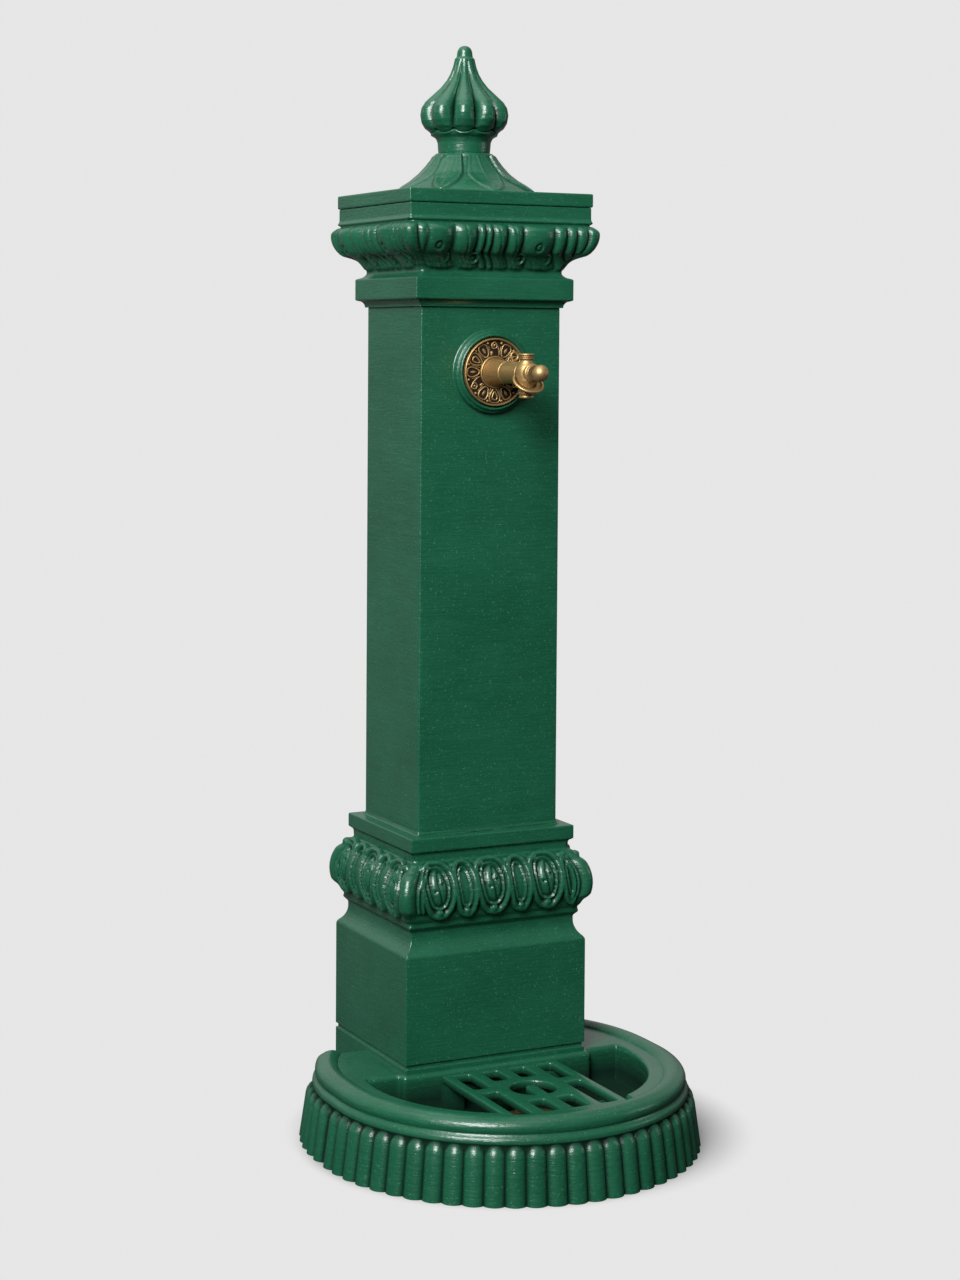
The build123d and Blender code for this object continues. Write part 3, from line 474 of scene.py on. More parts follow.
def dense(line, step):
    """The same line with its long stretches divided evenly."""
    parts = [line[:1]]
    for start, end in zip(line[:-1], line[1:]):
        count = max(1, math.ceil(np.linalg.norm(end - start) / step))
        parts.append(start + (end - start) * np.linspace(0, 1, count + 1)[1:, None])
    return np.concatenate(parts)


square = soft_line([(0, 0), (9, 0), (9, 9), (0, 9)], 1, closed=True)
print("a square with eased corners:", len(square), "points")

# %% [markdown]
# ## Pieces from grids
#
# Most castings are one profile carried round the column, so their surface is a grid: rows follow the
# profile, columns go round. Cutting them from solids would leave uneven faces, but in a grid each point has
# its neighbours, so carving is a height added along the surface's own outward direction, before the mesh is
# made. A closed grid has its last row joined to its first.

# %% Grids and pieces


def new_mesh_object(name, points, faces):
    """An object from points in millimetres from the column's axis."""
    mesh = bpy.data.meshes.new(name)
    mesh.from_pydata(to_frame(points).tolist(), [], faces)
    mesh.update()
    return in_scene(name, mesh)


def grid_faces(row_count, column_count, first=0, rows_closed=True):
    """Quads between neighbouring rows and columns of a grid that is closed all round."""
    rows = np.arange(row_count if rows_closed else row_count - 1)
    row, column = np.meshgrid(rows, np.arange(column_count), indexing="ij")
    next_row, next_column = (row + 1) % row_count, (column + 1) % column_count
    corners = [(row, column), (row, next_column), (next_row, next_column), (next_row, column)]
    return np.stack([(r * column_count + c + first).ravel() for r, c in corners], 1).tolist()


def column_places(piece):
    """The piece's points in millimetres from the column's axis."""
    return np.array([vertex.co for vertex in piece.data.vertices]) / MM - [0, AXIS_Y / MM, 0]


def take_in(piece, other):
    """Add another object's mesh to a piece's own, and remove the other object."""
    both = bmesh.new()
    both.from_mesh(piece.data)
    both.from_mesh(other.data)
    both.to_mesh(piece.data)
    both.free()
    bpy.data.objects.remove(other)


def apply_modifiers(piece):
    """Store what the piece's modifiers make as its plain mesh."""
    graph = bpy.context.evaluated_depsgraph_get()
    plain = bpy.data.meshes.new_from_object(piece.evaluated_get(graph))
    piece.modifiers.clear()
    piece.data = plain


print("a grid of 3 x 4 points, closed both ways:", len(grid_faces(3, 4)), "faces")

# %% [markdown]
# ## Shading, and painted shade in the hollows
#
# Every made piece goes through the same last steps. Doubled points are merged and small holes filled, so
# that the shell is closed, and faces are smooth except at sharp edges. The painted shade in the hollows,
# which on brass is partly patina, has to know where the hollows are: the carved grids know it from their
# own rise, and elsewhere a point counts as hollow when its neighbours stand in front of it. Then the piece
# rides on its body and takes the place of its CAD node.

# %% Shading, hollows and the last steps
MERGE_DISTANCE, SMALLEST_EDGE = 0.02 * MM, 0.005 * MM
LONG_EDGE = 9 * MM


def shade(piece, sharp_degrees=35):
    """Closed, with outward faces that are smooth but for edges that turn more than an angle."""
    shape = bmesh.new()
    shape.from_mesh(piece.data)
    bmesh.ops.remove_doubles(shape, verts=shape.verts, dist=MERGE_DISTANCE)
    bmesh.ops.dissolve_degenerate(shape, edges=shape.edges, dist=SMALLEST_EDGE)
    bmesh.ops.recalc_face_normals(shape, faces=shape.faces)
    bmesh.ops.holes_fill(shape, edges=[edge for edge in shape.edges if len(edge.link_faces) == 1], sides=0)
    open_edges = sum(len(edge.link_faces) != 2 for edge in shape.edges)
    shape.to_mesh(piece.data)
    shape.free()
    piece.data.shade_smooth()
    piece.data.set_sharp_from_angle(angle=math.radians(sharp_degrees))
    return open_edges


def store_hollow(piece, values):
    """How deep each point lies in a crease, for the material to read as painted shade, and on brass partly
    as patina.
    """
    piece.data.attributes.new("hollow", "FLOAT", "POINT").data.foreach_set("value", np.ravel(values))


def folds(piece, rounds=3, depth=0.10):
    """How much each point lies in a fold: its neighbours stand in front of it. Wide flats don't count."""
    mesh = piece.data
    places, normals = np.empty(len(mesh.vertices) * 3), np.empty(len(mesh.vertices) * 3)
    mesh.vertices.foreach_get("co", places)
    mesh.vertices.foreach_get("normal", normals)
    places, normals = places.reshape(-1, 3), normals.reshape(-1, 3)
    ends = np.empty(len(mesh.edges) * 2, int)
    mesh.edges.foreach_get("vertices", ends)
    ends = ends.reshape(-1, 2)
    way = places[ends[:, 1]] - places[ends[:, 0]]
    length = np.linalg.norm(way, axis=1)
    fold, count = np.zeros(len(places)), np.bincount(ends.ravel(), minlength=len(places))
    np.add.at(fold, ends[:, 0], (normals[ends[:, 0]] * way).sum(1) / length)
    np.add.at(fold, ends[:, 1], -(normals[ends[:, 1]] * way).sum(1) / length)
    fold = fold / np.maximum(count, 1)
    longest = np.zeros(len(places))
    np.maximum.at(longest, ends.ravel(), np.repeat(length, 2))
    fold[longest > LONG_EDGE] = 0
    for _ in range(rounds):
        total = fold.copy()
        np.add.at(total, ends[:, 0], fold[ends[:, 1]])
        np.add.at(total, ends[:, 1], fold[ends[:, 0]])
        fold = total / (count + 1)
    return np.clip(fold / depth, 0, 1)


def crease(rise, reach=3, depth=1.5):
    """How far each grid point lies below the mean height round it, from 0 to 1."""
    mean = rise
    for axis in (0, 1):
        total = sum(np.roll(mean, shift, axis) for shift in range(-reach, reach + 1))
        mean = total / (2 * reach + 1)
    return np.clip((mean - rise) / depth, 0, 1)


BODY_OF_NODE = {node: body for body, nodes in frame["record"]["behaviour"]["bodies"].items()
                for node in nodes}


def finish(piece, node, sharp_degrees=35):
    """Shade and dress a piece, hang it on its body and hide the CAD node whose place it takes."""
    open_edges = shade(piece, sharp_degrees)
    # A piece without its own hollow values gets painted shade from its folds
    if "hollow" not in piece.data.attributes:
        store_hollow(piece, folds(piece))
    slot = slot_of_node[node]
    piece.data.materials.clear()
    piece.data.materials.append(slot_materials[slot])
    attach(piece, BODY_OF_NODE[node])
    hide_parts(node)
    triangles = sum(len(polygon.vertices) - 2 for polygon in piece.data.polygons)
    print(f"{piece.name}: {triangles} triangles, {open_edges} open edges")


# %% [markdown]
# ## Rings round the column
#
# The column is a rectangle with rounded corners, so a turned surface won't do. Each row of the grid goes
# round four sides and four corners. A column of the grid knows its side, its share along that side and its
# turn round the corner past the side's end, and the row adds the sizes. Carving follows the arc length, so
# a pattern runs on from a side into its corner. The right and the back are out of the photograph's sight,
# and get half as many columns.

# %% Grids round a rectangle
SIDE_PITCHES = (1, 2, 2, 1)
CORNER_BLEND = 6


def side_columns(half_x, half_y, pitch, corner_count):
    """Columns round a rectangle from the front left corner: side, share along it, turn past its end."""
    columns = []
    for side in range(4):
        length = (half_x, half_y)[side % 2] * 2
        shares = np.linspace(-1, 1, round(length / (pitch * SIDE_PITCHES[side])) + 1)
        quarter = math.pi / 4
        columns += [(side, -1, -quarter * (1 - k / corner_count)) for k in range(corner_count)]
        columns += [(side, share, 0) for share in shares]
        columns += [(side, 1, quarter * k / corner_count) for k in range(1, corner_count)]
    return np.array(columns).T


def ring_grid(rows, columns, carve=None):
    """Points of a grid round the column. A row is half width, half depth, height, corner radius and
    carving place, which is nan where nothing is carved."""
    half_x, half_y, height, corner, place = (part[:, None] for part in rows.T)
    side, share, turn = columns
    along_x = side % 2 == 0
    reach = np.where(along_x, half_x, half_y) - corner
    other = np.where(along_x, half_y, half_x) - corner
    facing = side * math.pi / 2 - math.pi / 2
    outward = facing + turn
    along, out = share * reach, other
    x = out * np.cos(facing) - along * np.sin(facing) + corner * np.cos(outward)
    y = out * np.sin(facing) + along * np.cos(facing) + corner * np.sin(outward)
    points = np.stack([x, y, np.broadcast_to(height, x.shape)], 2)
    if carve is None:
        return points, np.zeros(x.shape)
    # The profile's outward direction, from the rows before and after
    slope = np.gradient(rows[:, [0, 2]], axis=0)
    slope /= np.linalg.norm(slope, axis=1, keepdims=True)
    out_part, up_part = slope[:, 1:2], -slope[:, 0:1]
    from_middle = along + corner * turn
    from_corner = reach * (1 - abs(share)) + corner * (math.pi / 4 - abs(turn))
    rise = carve(side + 0 * x, from_middle, from_corner, place + 0 * x)
    rise = np.where(np.isnan(place), 0, rise)
    for axis in (0, 1):
        rise = (np.roll(rise, 1, axis) + rise * 2 + np.roll(rise, -1, axis)) / 4
    points[:, :, 0] += rise * out_part * np.cos(outward)
    points[:, :, 1] += rise * out_part * np.sin(outward)
    points[:, :, 2] += rise * up_part
    return points, crease(rise)


def moulding_rows(line, corner, carved=None, carved_corner=None):
    """Rows for a profile of (offset, height) points. The stretch between two heights may be carved."""
    rows = np.zeros((len(line), 5))
    rows[:, 0], rows[:, 1], rows[:, 2] = SHAFT_X + line[:, 0], SHAFT_Y + line[:, 0], line[:, 1]
    rows[:, 3], rows[:, 4] = corner, np.nan
    if carved:
        inside = (line[:, 1] > carved[0]) & (line[:, 1] < carved[1])
        lengths = np.append(0, np.cumsum(np.linalg.norm(np.diff(line, axis=0), axis=1)))
        rows[inside, 4] = (lengths - lengths[inside][0])[inside]
        # The corner swells gently from the plain mouldings into the carved stretch
        outside = np.maximum(carved[0] - line[:, 1], line[:, 1] - carved[1])
        spread = np.clip(1 - outside / CORNER_BLEND, 0, 1)
        rows[:, 3] = corner + (carved_corner - corner) * spread
    return rows


print("columns round the shaft:", side_columns(SHAFT_X, SHAFT_Y, 1.3, 4).shape[1])

# %% [markdown]
# ## Carving
#
# The two carved bands are common classical ornament: eggs in looped straps below, and gadroons with small
# scrolls above. They could be sculpted, but ridges written as paths stay crisp and evenly spaced. Each band
# is a few simple ridges, and the higher one wins where they meet. A ridge knows how far a point lies from
# its path, and a half-round section turns that gap into a height.

# %% Ridges


def gap_to(x, y, path):
    """The distance from each point to a path of short lines."""
    best = np.full(np.shape(x), np.inf)
    for (ax, ay), (bx, by) in zip(path[:-1], path[1:]):
        length = (bx - ax) ** 2 + (by - ay) ** 2
        share = np.clip(((x - ax) * (bx - ax) + (y - ay) * (by - ay)) / length, 0, 1)
        best = np.minimum(best, np.hypot(x - ax - share * (bx - ax), y - ay - share * (by - ay)))
    return best


def cord(gap, half_width, height):
    """The half-round section of a ridge."""
    return height * np.clip(1 - (gap / half_width) ** 2, 0, 1) ** 0.75


def egg(x, y, half_width, half_height, rise):
    """A low round swelling."""
    return rise * np.sqrt(np.clip(1 - (x / half_width) ** 2 - (y / half_height) ** 2, 0, 1))


def loop_path(half_width, foot, top, point, count=36):
    """A closed loop that is narrower at its foot."""
    turns = np.linspace(0, math.tau, count + 1)
    x = half_width * np.sign(np.sin(turns)) * abs(np.sin(turns)) ** 0.68 * (1 - point * np.cos(turns))
    y = (foot + top) / 2 - (top - foot) / 2 * np.cos(turns)
    return np.stack([x, y], 1)


def smooth_step(value, low, high):
    """A soft step from 0 at the low value to 1 at the high one."""
    share = np.clip((value - low) / (high - low), 0, 1)
    return share * share * (3 - 2 * share)


print("a loop's path:", len(loop_path(18.6, 8, 68, 0.15)), "points")

# %% The strapwork of the base
LOOP_PITCH, BETWEEN_LOOPS = 33, 13
LOOP_REACH, LOOP_MIDDLE, LOOP_LEAN = 22, 38, 0.08
STRAP_RISE, BUD_HEIGHT, CORNER_ROOM = 5.4, 63, 14
FRONT_LOOPS = [(-73, "wide"), (-40, "narrow"), (-7, "wide"), (26, "narrow"), (59, "wide"), (92, "narrow")]
WIDE_STRAP, WIDE_INNER = loop_path(18.6, 8, 68, 0.15), loop_path(12.6, 17, 62.5, 0.12)
NARROW_STRAP, NARROW_INNER = loop_path(12.2, 8, 67, 0.08), loop_path(6.8, 17, 60.5, 0.05)
SPLIT = [(3.5, 60), (-1, 46), (0.6, 34), (3, 23)]
EYES = [(-4.6, 37), (4.8, 44)]


def strap_section(gap, half_width):
    """A round strap with a groove along its middle."""
    return cord(gap, half_width, STRAP_RISE) - cord(gap, 1.2, 0.9)


def loop_rise(kind, x, place):
    """One looped strap, with an egg or a spindle in it and a bead over its foot."""
    lean = x + (place - LOOP_MIDDLE) * LOOP_LEAN
    if kind == "wide":
        strap = strap_section(gap_to(lean, place, WIDE_STRAP), 3.6)
        inner = cord(gap_to(lean, place, WIDE_INNER), 1.7, 3.4)
        middle = egg(lean, place - 40, 9.4, 20, 5.0)
        split = cord(gap_to(lean, place, SPLIT), 1.3, 3.4)
        eyes = sum(cord(np.hypot(lean - x, place - y), 1.7, 3.6) for x, y in EYES)
        return np.maximum.reduce([strap, inner, middle - split - eyes, egg(lean, place - 12, 5, 4.5, 5.4)])
    strap = strap_section(gap_to(lean, place, NARROW_STRAP), 3.4)
    inner = cord(gap_to(lean, place, NARROW_INNER), 1.3, 3.0)
    return np.maximum.reduce([strap, inner, egg(lean, place - 12, 4.5, 4.5, 5.2)])


def strapwork(side, along, from_corner, place):
    """The lower band: loops along each side, and a plain lobe with two strips on each corner."""
    off_bud = ((along % LOOP_PITCH - BETWEEN_LOOPS) / 5.5) ** 2 + ((place - BUD_HEIGHT) / 5) ** 2
    rise = 4.4 * np.clip(1 - off_bud, 0, 1) ** 0.6
    side_loops = [(index * LOOP_PITCH, "narrow" if index % 2 else "wide") for index in range(-2, 3)]
    for number in range(4):
        for middle, kind in (FRONT_LOOPS if number == 0 else side_loops):
            near = (side == number) & (abs(along - middle) < LOOP_REACH) & (from_corner > CORNER_ROOM)
            if near.any():
                made = loop_rise(kind, along[near] - middle, place[near])
                rise[near] = np.maximum(rise[near], made)
    lobe = cord(from_corner, 12.5, 5.6) * smooth_step(place, 6, 19) * smooth_step(-place, -66, -50)
    strips = np.maximum(cord(from_corner - 15, 1.9, 4.0), cord(from_corner - 19.8, 2.3, 4.8))
    fade = smooth_step(place, 10, 16) * smooth_step(-place, -68, -61)
    ground = -1.4 * smooth_step(place, 4, 12) * smooth_step(-place, -62, -57)
    return np.maximum(rise, np.maximum(lobe, strips * fade)) + ground


print("loops on the front:", len(FRONT_LOOPS))

# %% The gadroons of the capital
# Each gadroon has its middle, its half width and 1 where it carries an eye
GADROONS = [(-97, 7, 0), (-78, 17, 1), (-45, 13, 0), (-27, 4.5, 0), (-18, 4, 0), (-5, 9, 0), (14, 9, 0),
            (43, 19, 1), (70, 7, 0), (84, 6, 0), (97, 7, 0)]
BROAD, EYE_HEIGHT, SCROLL_HEIGHT = 8, 38, 19
SCROLL_MIDDLES = (-66, -30, 26, 58)
BAND_REACH, CORNER_LOBE = 30, 9
VEIN = [(-3, 58), (-0.5, 46), (2, 36), (1, 24)]


def gadroons(side, along, from_corner, place):
    """The upper band: swelling lobes on the round, tongues that run down the hollow, small scrolls."""
    stretch = np.where(side % 2 == 0, 1.0, (SHAFT_Y + BAND_REACH) / (SHAFT_X + BAND_REACH))
    x = along / stretch
    flow = x - 12 * smooth_step(-place, -32, -4)
    swell = smooth_step(place, 12, 34) * smooth_step(-place, -62, -53)
    rise, tongues = np.zeros(side.shape), np.zeros(side.shape)
    for middle, half_width, eye in GADROONS:
        lobe = cord(flow - middle, half_width, 6.4 if half_width > BROAD else 5.0)
        if eye:
            gap = np.hypot(x - middle, place - EYE_HEIGHT)
            lobe = lobe - cord(gap - 3.4, 1.3, 2.6) - cord(gap, 1.3, 2.0)
        elif half_width > BROAD:
            lobe = lobe - cord(gap_to(flow - middle, place, VEIN), 0.9, 1.8)
        rise = np.maximum(rise, lobe)
        lines = sum(cord(flow - middle - half_width * part, 1.0, 0.9) for part in (-0.45, 0.1, 0.6))
        tongue = cord(flow - middle, half_width * 0.96, 3.4) - lines * (half_width > BROAD)
        tongues = np.maximum(tongues, tongue)
    scrolls = np.zeros(side.shape)
    for middle in SCROLL_MIDDLES:
        gap = np.hypot(x - middle, (place - SCROLL_HEIGHT) * 0.9)
        scrolls = np.maximum(scrolls, cord(gap - 6.6, 1.9, 3.8) + cord(gap, 2.6, 3.2))
    corner = cord(from_corner, CORNER_LOBE, 6.6)
    rise = np.maximum(rise * (from_corner > CORNER_LOBE), corner) * swell
    off_corner = from_corner > CORNER_LOBE - 1
    low = tongues * smooth_step(place, 1, 7) * smooth_step(-place, -44, -30) * off_corner
    return np.maximum.reduce([rise, low, scrolls * off_corner])


print("gadroons on a side:", len(GADROONS))

# %% Column base and capital
TUBE_INSIDE = -8
BASE_LOW, BASE_HIGH = level("column_base", 0), level("column_base", 1)
BASE_LINE = [(25, BASE_LOW), (25, 205.9), (23.25, 208.8), (18.25, 214.4, 14.75, 225.8), (14.75, 231.4),
             (19.5, 236.5), (19.5, 240.8), (29.3, 274.5, 20, 297.1), (15, 303.9), (11.5, 306.3),
             (11.5, 315.5), (14.75, 317.5), (14.75, BASE_HIGH), (TUBE_INSIDE, BASE_HIGH),
             (TUBE_INSIDE, 199), (17, 197), (17, BASE_LOW)]
BASE_BAND, BASE_PITCH = (241.5, 312), 1.19
CAPITAL_LOW, CAPITAL_HIGH = level("capital", 0), level("capital", 1)
CAPITAL_LINE = [(2.9, CAPITAL_LOW), (3.7, 911.9, 6.1, 914.6), (11.1, 916), (11.1, 939.5), (6.4, 941.2),
                (3.2, 945, 5.8, 952.8), (12.5, 962.7, 18.8, 969), (28.6, 983.8, 27.6, 996.6),
                (24.6, 998.2), (27.8, 1000.8), (25, 1004.6), (25, CAPITAL_HIGH),
                (TUBE_INSIDE, CAPITAL_HIGH), (TUBE_INSIDE, CAPITAL_LOW)]
CAPITAL_BAND, CAPITAL_PITCH = (945, 999), 1.06
LEDGE_REACH, PLAIN_CORNER, CARVED_CORNER = 25, 1.2, 7


def carved_casting(name, steps, carved, carve, pitch):
    """A moulding round the column whose middle stretch is carved."""
    line = soft_line(steps + [steps[0]], 1.4)[:-1]
    inside = (line[:, 1] > carved[0]) & (line[:, 1] < carved[1]) & (line[:, 0] > 0)
    first, last = np.flatnonzero(inside)[[0, -1]]
    line = np.concatenate([dense(line[:first], 12), dense(line[first:last + 1], pitch),
                           dense(line[last + 1:], 30)])
    rows = moulding_rows(line, PLAIN_CORNER, carved, CARVED_CORNER)
    rows[line[:, 0] < 0, 4] = np.nan
    columns = side_columns(SHAFT_X + LEDGE_REACH, SHAFT_Y + LEDGE_REACH, pitch, 7)
    points, hollows = ring_grid(rows, columns, carve)
    made = new_mesh_object(name, points.reshape(-1, 3), grid_faces(*points.shape[:2]))
    # The carving's creases get painted shade from these values
    store_hollow(made, hollows)
    return made


column_base = carved_casting("column_base_cast", BASE_LINE, BASE_BAND, strapwork, BASE_PITCH)
finish(column_base, "column_base")
capital = carved_casting("capital_cast", CAPITAL_LINE, CAPITAL_BAND, gadroons, CAPITAL_PITCH)
finish(capital, "capital")

# %% [markdown]
# ## Leaf cap and bud
#
# Above the capital's slab everything is round, so a profile turned about the axis serves, as on a lathe.
# The skirt carries eight leaves: four that point at the slab's corners, and four behind them. They are a
# height added to the turned grid, as the carved bands are. The finial starts as a plain turned shape.

# %% Turned grids


def turned_grid(line, column_count, carve=None, carved_rows=None):
    """Points of a profile of (radius, height) turned about the upright axis."""
    turns = np.arange(column_count) / column_count * math.tau
    radius, height = line[:, :1], line[:, 1:]
    rise_out, rise_up = 0.0, 0.0
    if carve is not None:
        slope = np.gradient(line, axis=0)
        slope /= np.linalg.norm(slope, axis=1, keepdims=True)
        first, last = carved_rows
        number = np.arange(len(line))
        share = np.clip((number - first) / (last - first), 0, 1)
        carved = (number >= first) & (number <= last)
        rise = carve(turns[None, :], share[:, None], radius) * carved[:, None]
        rise_out, rise_up = rise * slope[:, 1:], -rise * slope[:, :1]
    reach = radius + rise_out
    x, y = reach * np.cos(turns), reach * np.sin(turns)
    return np.stack([x, y, height + rise_up + 0 * x], 2)


print("a turned grid:", turned_grid(np.array([(5.0, 0.0), (5.0, 9.0)]), 12).shape)

# %% Leaves and cap
SKIRT_LEVEL, CAP_HIGH = 1033.5, level("cap", 1)
SKIRT_LINE = [(82, SKIRT_LEVEL), (71, 1040.7), (60, 1047), (49.5, 1055), (41.4, 1064), (34.6, 1073),
              (31.7, CAP_HIGH)]
ROD_HOLE, CAP_WALL = 7, 10
SKIRT_UNDERSIDE = [(20, CAP_HIGH), (ROD_HOLE, CAP_HIGH), (ROD_HOLE, CAP_HIGH - CAP_WALL),
                   (22, CAP_HIGH - CAP_WALL), (57, 1022), (57, 1030), (80, 1030)]
SLAB_FOOT, SLAB_REACH, SLAB_INSIDE, SLAB_HOLE_CORNER = 1018.6, 26.5, -27, 20
SKIRT_COLUMNS = 400


def angle_from(turns, middle):
    """The turn from a middle direction, between -180 and 180 degrees, in degrees."""
    return (np.degrees(turns) - middle + 180) % 360 - 180


def leaf(across, up, radius, half_width, rise):
    """A dished leaf with a midrib, from its place up the skirt, 0 to 1, and across it, in degrees."""
    width = half_width * np.clip(up / 0.5, 0.0001, 1) ** 0.6 * (1 - 0.15 * smooth_step(up, 0.6, 1))
    gap = abs(across)
    body = smooth_step(width - gap, -0.4, 1.8) * rise
    dish = -0.35 * rise * smooth_step(width - gap, 1.5, 8)
    rib = cord(gap * radius / 57, 1.8, 0.5)
    ends = smooth_step(up, 0, 0.03) * smooth_step(1 - up, 0, 0.08)
    return (body + (dish + rib) * (gap < width)) * ends


def leaves(turns, up, radius):
    """Four leaves on the diagonals lie over four that face the sides."""
    rise = np.zeros(np.broadcast_shapes(turns.shape, up.shape))
    for quarter in range(4):
        behind = leaf(angle_from(turns, quarter * 90), up, radius, 22, 1.4)
        ahead = leaf(angle_from(turns, quarter * 90 + 45), up, radius, 17.5, 2.6)
        rise = np.maximum.reduce([rise, behind, ahead])
    top_roll = cord((1 - up) * 60 - 2.5, 2.5, 0.8)
    return np.maximum(rise, top_roll)


skirt_outer = dense(soft_line(SKIRT_LINE, 3), 1.2)
skirt_line = np.concatenate([skirt_outer, SKIRT_UNDERSIDE])
skirt_points = turned_grid(skirt_line, SKIRT_COLUMNS, leaves, (0, len(skirt_outer) - 1))
slab_line = soft_line([(SLAB_REACH, SLAB_FOOT), (SLAB_REACH, SKIRT_LEVEL), (SLAB_INSIDE, SKIRT_LEVEL),
                       (SLAB_INSIDE, SLAB_FOOT)], 1.6, closed=True)
slab_rows = moulding_rows(dense(slab_line, 20), 1.6)
slab_rows[slab_rows[:, 0] < SHAFT_X, 3] = SLAB_HOLE_CORNER
slab_points, _ = ring_grid(slab_rows, side_columns(SHAFT_X, SHAFT_Y, 15, 4))
cap_points = np.concatenate([skirt_points.reshape(-1, 3), slab_points.reshape(-1, 3)])
cap_faces = grid_faces(*skirt_points.shape[:2])
cap_faces += grid_faces(*slab_points.shape[:2], first=skirt_points[..., 0].size)
finish(new_mesh_object("cap_cast", cap_points, cap_faces), "cap")

# %% Finial before its lobes
FINIAL_LINE = [(0, 1199.6), (2.6, 1199.2), (5.2, 1198.0), (7.3, 1195.6), (8.4, 1192.4), (8.8, 1188.4),
               (9.3, 1186.2), (11.2, 1185.0), (12.0, 1181.5), (13.6, 1175.4), (16.6, 1167.6), (21.0, 1160),
               (27.6, 1152), (36.4, 1144), (45.2, 1136.0), (49.6, 1129.2), (51.0, 1121.4), (49.8, 1114.5),
               (45.4, 1107.8), (38, 1103.2), (33.2, 1101.6), (37.4, 1102.6), (38.0, 1101.0), (36.1, 1099.2),
               (31.9, 1096.4), (29.8, 1092), (28.8, CAP_HIGH), (4, CAP_HIGH)]
FINIAL_COLUMNS, POLE_RADIUS = 300, 0.02
BUD_LOBES = 10
CAMERA_SIDE = math.atan2(CAMERA_PLACE[1], CAMERA_PLACE[0])
CURL_RISE, CURL_DROP = 4.2, 1.2


def end_caps(row_count, column_count):
    """The two flat faces that close a grid whose rows are open."""
    last = (row_count - 1) * column_count
    return [list(range(column_count)), [last + k for k in range(column_count)]]


finial_line = dense(soft_line(FINIAL_LINE, 1.2), 1.6)
finial_line[0, 0] = POLE_RADIUS
finial_points = turned_grid(finial_line, FINIAL_COLUMNS)
# The collar curls up between the lobes, one of which faces the camera
lobe_turn = (np.arange(FINIAL_COLUMNS) / FINIAL_COLUMNS * math.tau - CAMERA_SIDE) * BUD_LOBES / 2
on_collar = smooth_step(finial_line[:, 1], 1098, 1101) * smooth_step(-finial_line[:, 1], -1106, -1103)
curl = (on_collar * smooth_step(finial_line[:, 0], 32, 35))[:, None]
finial_points[:, :, 2] += CURL_RISE * curl * (1 - abs(np.cos(lobe_turn))) ** 1.3 - CURL_DROP * curl
finial_faces = grid_faces(*finial_points.shape[:2], rows_closed=False) + end_caps(*finial_points.shape[:2])
finial = new_mesh_object("finial_cast", finial_points.reshape(-1, 3), finial_faces)
print("points on the finial's profile:", len(finial_line))

# %% [markdown]
# ## The bud as a rule
#
# The bud is one rule: between two heights, each point moves inwards by how far it stands from the middle
# of its lobe, and a thin ridge rises in each crease. Ten lobes could be modelled one by one, but Geometry
# Nodes writes the rule once, with the number of lobes, their depth and the heights as named inputs, so the
# same tree would carve another bud. Set Material closes the tree, and the result is then stored as a plain
# mesh.

# %% The tree of the lobes


class GeometryShop(Shop):
    """The same way of making nodes, for a geometry tree with named inputs."""

    def __init__(self, name, inputs):
        super().__init__(bpy.data.node_groups.new(name, "GeometryNodeTree"))
        face = self.tree.interface
        face.new_socket("Geometry", in_out="INPUT", socket_type="NodeSocketGeometry")
        face.new_socket("Geometry", in_out="OUTPUT", socket_type="NodeSocketGeometry")
        for label, kind in inputs.items():
            face.new_socket(label, in_out="INPUT", socket_type=kind)
        self.entry = self.tree.nodes.new("NodeGroupInput")

    def given(self, label):
        """One of the tree's own inputs."""
        return Signal(self, self.entry.outputs[label])

    def dressed(self, geometry):
        """Close the tree: the instances are made real, and the geometry gets its material."""
        real = self.node("GeometryNodeRealizeInstances", (), {0: geometry})
        inputs = {"Geometry": real, "Material": self.given("Material")}
        closed = self.node("GeometryNodeSetMaterial", (), inputs)
        self.node("NodeGroupOutput", (), {"Geometry": closed})
        return self.tree


def run_tree(piece, tree, values):
    """Put a tree on a piece with its inputs set, then store the result as a plain mesh."""
    modifier = piece.modifiers.new(tree.name, "NODES")
    modifier.node_group = tree
    for socket in tree.interface.items_tree:
        if socket.in_out == "INPUT" and socket.name in values:
            modifier[socket.identifier] = values[socket.name]
    apply_modifiers(piece)


LOBE_SIZES = ("Axis Y", "Lobes", "Depth", "Foot", "Shoulder", "Top", "Turn")


